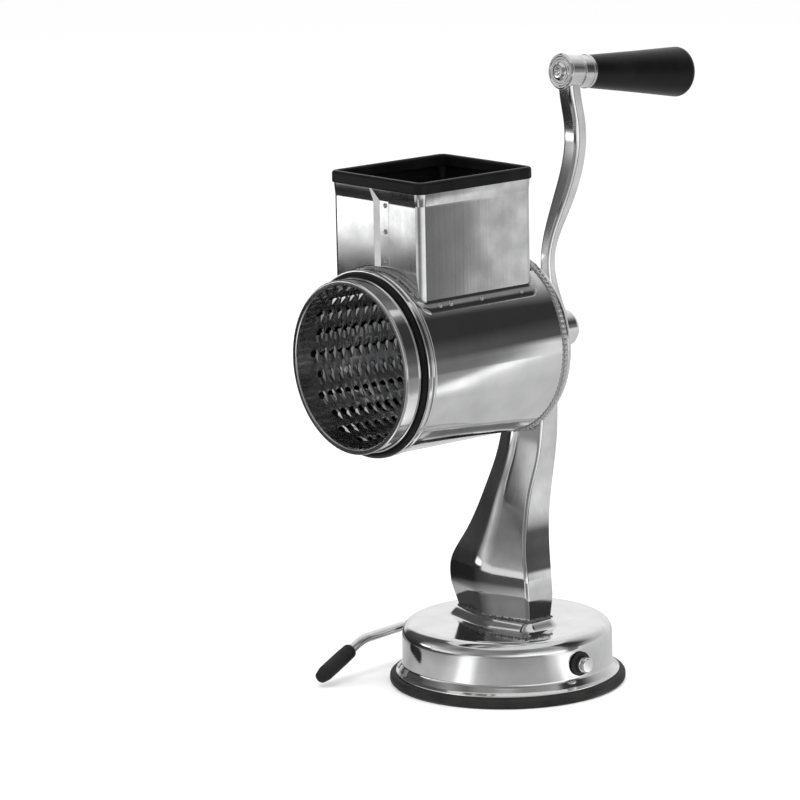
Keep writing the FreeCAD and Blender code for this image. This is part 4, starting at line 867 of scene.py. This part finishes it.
def drumShellGrids():
    # One cell round a hole, twelve points a ring: hole edge, foot of the raised nib, cell border.
    # Cells fill the columns, every second one half a step on; plain bands close both ends.
    v = drum
    pitch, turn, count = v["pitch"], 2 * math.pi / v["columns"], v["rows"]
    flat = np.array(v["border"], float) * [0.5, 0.5] * [turn * v["radius"], pitch]
    angle = np.array(v["angles"]) * np.pi / 180
    away = np.column_stack([np.cos(angle), np.sin(angle)])
    lip = np.clip(0.5 + 0.5 * away[:, 0], 0, 1) ** v["lipPower"]    # the cutting side is highest
    rings = np.stack([away * r * [stretch, 1.0] for r, stretch in v["rings"]] + [flat])
    rings[1, :, 0] += v["hollow"] * np.clip(away[:, 0], 0, 1) ** v["hollowPower"]
    raised = np.stack([v["nibHeight"] * (share * lip + rest) for share, rest in v["lifts"]])
    cells = np.array([(c, -v["firstHole"] + pitch * (r + 0.5 * (c % 2)))
                      for c in range(v["columns"]) for r in range(count - c % 2)])
    start, end = -v["firstHole"] - pitch / 2, -v["firstHole"] + pitch * (count - 0.5)

    def placed(radius):
        theta = cells[:, None, None, 0] * turn + rings[None, ..., 0] / v["radius"]
        y = cells[:, None, None, 1] + rings[None, ..., 1]
        return roundBarrel(radius + raised[None], y, theta)

    def band(y0, y1, rows, theta):
        # plain sheet between two places along, outside then inside
        y = np.linspace(y0, y1, rows)[:, None]
        outer, inner = (roundBarrel(r, y, theta) for r in (v["radius"], v["radius"] - v["sheet"]))
        return [outer, inner[:, ::-1]]

    # border, ring, hole edge, through to the inside
    grids = [(np.concatenate([up[::-1], down]), False, True)
             for up, down in zip(placed(v["radius"]), placed(v["radius"] - v["sheet"]))]
    allRound = np.arange(2 * v["columns"]) * turn / 2 - turn / 2
    for y0, y1, rows, edge in ((-v["front"] + v["frontLap"], start, v["frontRows"], 0),
                               (end, v["back"], v["backRows"], -1)):
        up, down = band(y0, y1, rows, allRound[None])
        rim = np.stack([up[edge], down[edge][::-1]])
        rim = rim if edge == 0 else rim[::-1]
        grids += [(grid, False, True) for grid in (up, down, rim)]
    for column in range(1, v["columns"], 2):
        theta = (column * turn + np.array([-0.5, 0, 0.5]) * turn)[None]
        for y0, y1 in ((start, start + pitch / 2), (end - pitch / 2, end)):
            grids += [(sheet, False, False) for sheet in band(y0, y1, 3, theta)]
    return grids


def axleGrid():
    # Thread radius = root + ridge * rounded saw of (distance / pitch - turn), faded at both ends
    v = drumAxle
    line = profile(v["shank"])
    t = np.linspace(0, 2 * np.pi, v["sides"], endpoint=False)[None]
    along = np.linspace(v["start"], v["end"], v["rows"])[:, None]
    saw = np.abs(((along / v["pitch"] - t / (2 * np.pi)) % 1) * 2 - 1)
    fade = np.minimum((along - v["start"]) / v["fadeIn"], (v["end"] - along) / v["fadeOut"])
    rounded = np.clip(saw * v["flank"][0] - v["flank"][1], 0, 1)
    radius = v["root"] + v["ridge"] * rounded * np.clip(fade, 0, 1)
    shank, thread = roundBarrel(line[:, 1:], line[:, :1], t), roundBarrel(radius, along, t)
    return np.concatenate([shank, thread[1:], roundBarrel(0.0, v["end"], t)])


def makeDrum():
    v = drum
    points, faces = joined(drumShellGrids())
    mesh = closedMesh("drumShell", points, faces, near=5e-6, turnOut=True)
    dressed("drumShell", mesh, drumSteel, "drum", ["drum_shell"], 18)
    for name, rows, shift, steps, segments, steel, node in (
            ("drumRim", v["rim"], -v["front"], 5, 192, rimSteel, "drum_rim"),
            ("drumSeam", v["seam"], v["back"], 4, 160, rimSteel, "drum_seam"),
            ("drumDisc", v["disc"], v["back"], 5, 160, drumSteel, "drum_disc")):
        turned(name, profile(rows, steps, closed=True, shift=shift), barrelAxis, steel, "drum",
               node, segments=segments, sharp=45)
    turned("axleCollar", profile(v["collar"], closed=True, shift=v["back"]), barrelAxis, plainSteel,
           "drum", "axle_collar", segments=72)
    piece("drumAxle", [[(axleGrid(), False, True)]], plainSteel, "drum", ["drum_axle"],
          sharp=40)


makeDrum()
print("shredder: drum")


# Crank and grip: the arm's points are (behind the barrel, above the axle)

crank = {
    "points": [(43.0, 4.0), (37.6, 30.0), (37.2, 46.0), (46.6, 70.5), (56.6, 93.0), (60.2, 110.5),
               (59.4, 124.0), (56.6, 138.0), (55.4, 149.0)],
    "halfWidth": 6.0, "halfThick": 4.5, "edge": 2.4, "crown": 0.05, "crownTurn": 1.5, "rows": 120,
    "taper": [(0, 1.25), (0.08, 1.0), (0.17, 0.75), (0.3, 0.66), (0.4, 0.78), (0.5, 0.93),
              (0.65, 1.0), (0.85, 1.0), (1, 0.96)],                  # share of the run, size there
    "bossY": 48.4, "bossRise": 152.9, "droop": 5.85,
    "hub": [(34.6, 5.0, 0), (34.6, 10.6, 0.3), (35.2, 11, 0.3), (50.5, 11, 2.5), (53.6, 8.8, 2.0),
            (55, 5.5, 1.5), (55, 0, 0), (48.2, 0, 0), (48.2, 5, 0)],
    "boss": [(0, 3.52, 0), (0, 6.9, 0.2), (0.55, 7.3, 0.2), (0.55, 8.4, 0.2), (0.05, 8.9, 0.2),
             (0.05, 9.7, 0.4), (1.0, 10.7, 0.7), (1.9, 10.6, 0.4), (2.4, 9.9, 0.5),
             (11.4, 9.7, 0.6), (12.6, 9.0, 0.4), (12.6, 3.52, 0)],
    "washer": [(32.6, 9.1, 0), (32.6, 11.7, 0.3), (34.4, 11.7, 0.3), (34.4, 9.1, 0)],
    "pin": [(-1.1, 0, 0), (-0.9, 1.3, 0.6), (-2.2, 2.3, 0.6), (-2.0, 4.0, 0.9), (-0.9, 5.2, 0.8),
            (-0.05, 5.6, 0.1), (-0.05, 3.5, 0), (92, 3.5, 0.5), (92, 0, 0)]}
grip = {
    "ferrule": [(13.0, 3.56, 0), (13.0, 8.6, 0.5), (13.6, 9.3, 0.6), (19.4, 9.6, 0.3),
                (19.7, 10.05, 0.3), (21.2, 10.1, 0.3), (21.6, 9.8, 0.2), (21.6, 3.56, 0)],
    "handle": [(21.65, 3.56, 0), (21.65, 9.7, 0.4), (60, 12.3, 60), (96.9, 15.1, 4.5),
               (101.3, 10.4, 4.5), (102, 5.0, 2), (102, 0, 0), (93, 0, 0), (93, 3.56, 0)]}
gripDroop = math.radians(crank["droop"])
gripAxis = (np.array([0, crank["bossY"], axle["height"] + crank["bossRise"]]),
            np.array([0, math.cos(gripDroop), -math.sin(gripDroop)]))


def armGrid():
    # A slightly crowned, rounded bar carried along a smooth curve, thinnest below its middle
    v = crank
    through = np.array(v["points"])
    run = np.concatenate([[0], np.cumsum(np.linalg.norm(np.diff(through, axis=0), axis=1))])
    s = np.linspace(0, run[-1], v["rows"])
    line = splineThrough(run, through, s)
    line = np.column_stack([np.zeros(len(s)), line[:, 0], axle["height"] + line[:, 1]])
    w, h = v["halfWidth"], v["halfThick"]
    corners = [(-w, -h), (w, -h), (w, h), (-w, h)]
    section = roundedLine(corners, [v["edge"]] * 4, steps=5, closed=True)
    section[:, 1] *= 1 + v["crown"] * np.cos(section[:, 0] / w * v["crownTurn"])
    scale = splineThrough(*np.array(v["taper"]).T, s / run[-1])
    return swept(line, section, np.array([1.0, 0, 0]), scale)


def makeCrank():
    v = crank
    hub = spun(profile(v["hub"], steps=6), barrelAxis, 96)
    boss = spun(profile(v["boss"], steps=5), gripAxis, 96, ring=True)
    piece("crankArm", [capped(armGrid()), [hub], [boss]], crankSteel, "crank", ["crank_arm"],
          sharp=45)
    turned("hubWasher", profile(v["washer"], steps=3, closed=True), barrelAxis, plainSteel, "crank",
           "hub_washer", segments=72)
    turned("gripPin", profile(v["pin"], steps=5), gripAxis, crankSteel, "crank", "grip_pin",
           segments=48, ring=False)
    turned("gripFerrule", profile(grip["ferrule"], steps=5, closed=True), gripAxis, crankSteel,
           "grip", "grip_ferrule", segments=96)
    turned("grip", profile(grip["handle"], steps=9), gripAxis, gripPlastic, "grip", "grip",
           segments=96)


makeCrank()
print("shredder: crank and grip")

# inner pieces keep their CAD shape and get a finish
for name in ("pad_plate", "lift_yoke", "guide_plate", "lift_cam", "shaft_collars", "foot_plate",
             "foot_bolts", "foot_nuts"):
    slots = nodes[name].data.materials
    if not slots:
        slots.append(plainSteel)
    for index in range(len(slots)):
        slots[index] = plainSteel


# Floor, cards that only mirror rays see, sky and lights

studio = {"floorSize": 40.0, "floorTone": (0.86, 0.86, 0.86, 1), "floorRough": 0.9,
          "floorGlow": 0.22, "skyTones": (0.96, 0.8), "skyLight": 1.0}      # tones level and overhead


def onStage(name, mesh, material, mirroredOnly=False):
    mesh.materials.append(material)
    obj = bpy.data.objects.new(name, mesh)
    bpy.context.scene.collection.objects.link(obj)
    if mirroredOnly:
        obj.visible_camera = obj.visible_diffuse = obj.visible_shadow = False
        obj.visible_transmission = obj.visible_volume_scatter = False


def makeFloor():
    mesh = bpy.data.meshes.new("floor")
    half = studio["floorSize"] / 2
    corners = [(-half, -half, 0), (half, -half, 0), (half, half, 0), (-half, half, 0)]
    mesh.from_pydata(corners, [], [(0, 1, 2, 3)])
    onStage("floor", mesh, newMaterial("paleFloor", {
        "Base Color": studio["floorTone"], "Roughness": studio["floorRough"],
        "Specular IOR Level": 0.0, "Emission Color": (1, 1, 1, 1),
        "Emission Strength": studio["floorGlow"]})[0])


def cardMaterial(name, brightness):
    # Plain light: brightness builds the blend and gives its colour output
    material = bpy.data.materials.new(name)
    material.use_nodes = True
    tree = material.node_tree
    tree.nodes.clear()
    glow = newNode(tree, "ShaderNodeEmission", {"Color": brightness(tree)})
    newNode(tree, "ShaderNodeOutputMaterial", {"Surface": glow.outputs["Emission"]})
    return material


def roundStops(stops):
    # angles in degrees from -180 to 180 become places from 0 to 1
    return [((angle + 180) / 360, value) for angle, value in stops]


def cardShape(name, rows, material):
    # A turned sheet; u goes round from the far side (+Y), v from the first row to the last
    cols = 144
    rows = np.asarray(rows, float)
    a = np.linspace(-np.pi, np.pi, cols + 1)
    grid = np.broadcast_arrays(rows[:, :1] * np.sin(a), -rows[:, :1] * np.cos(a), rows[:, 1:])
    i = (np.arange(len(rows) - 1)[:, None] * (cols + 1) + np.arange(cols)[None]).ravel()
    faces = np.column_stack([i, i + 1, i + cols + 2, i + cols + 1])
    mesh = bpy.data.meshes.new(name)
    mesh.from_pydata(np.stack(grid, -1).reshape(-1, 3).tolist(), [], faces.tolist())
    uv = mesh.uv_layers.new(name="around")
    u = np.tile(np.linspace(0, 1, cols + 1), len(rows))
    v = np.repeat(np.linspace(0, 1, len(rows)), cols + 1)
    corner = np.empty(len(mesh.loops), dtype=np.int32)
    mesh.loops.foreach_get("vertex_index", corner)
    uv.data.foreach_set("uv", np.column_stack([u[corner], v[corner]]).astype(np.float32).ravel())
    onStage(name, mesh, material, mirroredOnly=True)


def cardPlace(tree):
    around = newNode(tree, "ShaderNodeUVMap", {}, uv_map="around")
    split = newNode(tree, "ShaderNodeSeparateXYZ", {"Vector": around.outputs["UV"]})
    return split.outputs["X"], split.outputs["Y"]


# brightness round the object: angle from the mouth side (-Y), positive towards the near side (+X)
cards = {
    "radius": 1.05, "height": 1.5, "rows": 12, "floorRows": 24,         # metres
    "foot": 0.0008, "floorHeight": 0.0006,
    "low": [(-180, 0.72), (-150, 0.95), (-106, 0.85), (-97, 0.06), (-62, 0.03), (-56, 0.015),
            (-43, 0.015), (-38, 1.0), (-18, 0.95), (0, 0.42), (18, 0.24), (36, 0.5), (60, 1.2),
            (110, 1.45), (115, 0.17), (127, 0.20), (128.6, 0.30), (130, 1.3), (131.5, 0.80),
            (145, 0.72), (180, 0.72)],
    "middle": [(-180, 0.7), (-155, 1.0), (-105, 1.0), (-98, 0.08), (-62, 0.06), (-52, 0.45),
               (-42, 0.85), (-24, 0.42), (0, 0.45), (15, 0.28), (55, 0.30), (70, 0.9), (104, 0.75),
               (118, 0.12), (132, 0.09), (142, 0.4), (180, 0.7)],
    "high": [(-180, 0.75), (-160, 1.0), (-104, 0.95), (-94, 0.10), (-64, 0.08), (-45, 0.2),
             (-28, 0.36), (-8, 0.16), (8, 0.3), (60, 0.2), (100, 0.35), (112, 0.45), (119, 0.04),
             (142, 0.04), (150, 0.22), (165, 0.6), (180, 0.75)],
    "toMiddle": [(0.13, 0), (0.20, 1)], "toHigh": [(0.26, 0), (0.42, 1)],
    "windowAround": [(-60, 0), (-54, 1), (-45, 1), (-40, 0)], "windowLight": 2.6,
    "windowUp": [(0.066, 0), (0.082, 1), (0.13, 1), (0.17, 0)],
    "near": [(-180, 0.66), (-95, 0.70), (-70, 0.55), (-55, 0.42), (-38, 0.54), (-12, 0.58),
             (2, 0.80), (7, 1.4), (15, 1.4), (22, 0.62), (32, 0.50), (52, 0.44), (80, 0.48),
             (90, 0.8), (96, 1.45), (106, 1.45), (114, 0.75), (124, 0.64), (180, 0.66)],
    "far": [(-180, 0.70), (-120, 0.75), (-104, 0.08), (-92, 0.02), (-60, 0.02), (-45, 0.06),
            (-10, 0.10), (0, 0.4), (8, 1.1), (16, 1.1), (24, 0.4), (40, 0.2), (80, 0.3), (92, 1.1),
            (106, 1.2), (116, 0.68), (180, 0.70)],
    "toFar": [(0.12, 0), (0.20, 1)],
    "line": [(0.0, 0.28), (0.44, 0.33), (0.48, 0.40), (0.51, 1.4), (0.54, 1.4), (0.565, 0.95),
             (0.60, 0.80), (0.70, 0.70), (1.0, 0.66)],
    "lineAway": (-0.695, 0.719, 0), "lineScale": 2.0, "lineStart": 0.70,
    "lineAround": [(108, 0), (116, 1), (165, 1), (180, 0)], "lineBeyond": [(0.26, 0), (0.36, 1)]}


def wallLight(tree):
    # Three bands blend up the wall; a bright window low past the mouth lights the drum's inside.
    u, v = cardPlace(tree)
    low, middle, high = (ramp(tree, roundStops(cards[k]), u) for k in ("low", "middle", "high"))
    lower = blended(tree, ramp(tree, cards["toMiddle"], v), low, middle)
    wall = blended(tree, ramp(tree, cards["toHigh"], v), lower, high)
    window = timesPlus(tree, ramp(tree, roundStops(cards["windowAround"]), u),
                       ramp(tree, cards["windowUp"], v))
    return blended(tree, window, wall, (cards["windowLight"],) * 3 + (1,))


def floorLight(tree):
    # Beyond the near part a straight edge of the bright floor runs across:
    # its place is the distance in the away direction, scaled and moved.
    u, v = cardPlace(tree)
    near, far = (ramp(tree, roundStops(cards[k]), u) for k in ("near", "far"))
    outward = blended(tree, ramp(tree, cards["toFar"], v), near, far)
    place = tree.nodes.new("ShaderNodeTexCoord").outputs["Object"]
    away = newNode(tree, "ShaderNodeVectorMath", {0: place, 1: cards["lineAway"]},
                   operation="DOT_PRODUCT")
    shift = timesPlus(tree, away.outputs["Value"], cards["lineScale"], cards["lineStart"])
    beyond = timesPlus(tree, ramp(tree, roundStops(cards["lineAround"]), u),
                       ramp(tree, cards["lineBeyond"], v))
    return blended(tree, beyond, outward, ramp(tree, cards["line"], shift))


def makeCards():
    v = cards
    heights = np.linspace(v["foot"], v["height"], v["rows"])
    reaches = np.linspace(0, v["radius"], v["floorRows"])
    cardShape("cards", [(v["radius"], z) for z in heights], cardMaterial("cardLight", wallLight))
    cardShape("floorCard", [(r, v["floorHeight"]) for r in reaches],
              cardMaterial("floorCardLight", floorLight))


def makeWorld():
    world = bpy.data.worlds.new("softStudio")
    bpy.context.scene.world = world
    world.use_nodes = True
    tree = world.node_tree
    place = tree.nodes.new("ShaderNodeTexCoord").outputs["Generated"]
    up = newNode(tree, "ShaderNodeSeparateXYZ", {"Vector": place}).outputs["Z"]
    sky = ramp(tree, list(enumerate(studio["skyTones"])), up)
    setInputs(tree, tree.nodes["Background"], {"Color": sky, "Strength": studio["skyLight"]})


# place and target, width and height in metres, watts
lights = {"topBox": ((0.3, -0.2, 1.9), (0, 0, 0.2), (1.6, 1.6), 22),
          "leftBox": ((-1.3, -1.5, 1.0), (0, 0, 0.2), (0.7, 1.0), 8)}


def makeLights():
    for name, (place, target, size, power) in lights.items():
        light = bpy.data.lights.new(name, "AREA")
        light.shape, light.size, light.size_y, light.energy = "RECTANGLE", size[0], size[1], power
        obj = bpy.data.objects.new(name, light)
        bpy.context.scene.collection.objects.link(obj)
        obj.location = place
        obj.rotation_euler = (Vector(target) - Vector(place)).to_track_quat("-Z", "Y").to_euler()
        obj.visible_glossy = False


# camera at the photograph's place: back, right and up give the turn, a little roll included
view = {"place": (1.88205, -1.71409, 0.69433), "back": (0.73968, -0.64202, 0.20167),
        "right": (0.65840, 0.75242, -0.01951), "up": (-0.13922, 0.14721, 0.97926),
        "lens": 199.15, "sensor": 36.0, "farthest": 100}


def makeCamera():
    data = bpy.data.cameras.new("photoView")
    data.lens, data.sensor_width, data.clip_end = view["lens"], view["sensor"], view["farthest"]
    camera = bpy.data.objects.new("photoView", data)
    bpy.context.scene.collection.objects.link(camera)
    turn = Matrix((view["right"], view["up"], view["back"])).transposed().to_4x4()
    camera.matrix_world = Matrix.Translation(view["place"]) @ turn
    bpy.context.scene.camera = camera


makeFloor()
makeCards()
makeWorld()
makeLights()
makeCamera()
bpy.context.scene.view_settings.view_transform = "Standard"
print("shredder: studio")
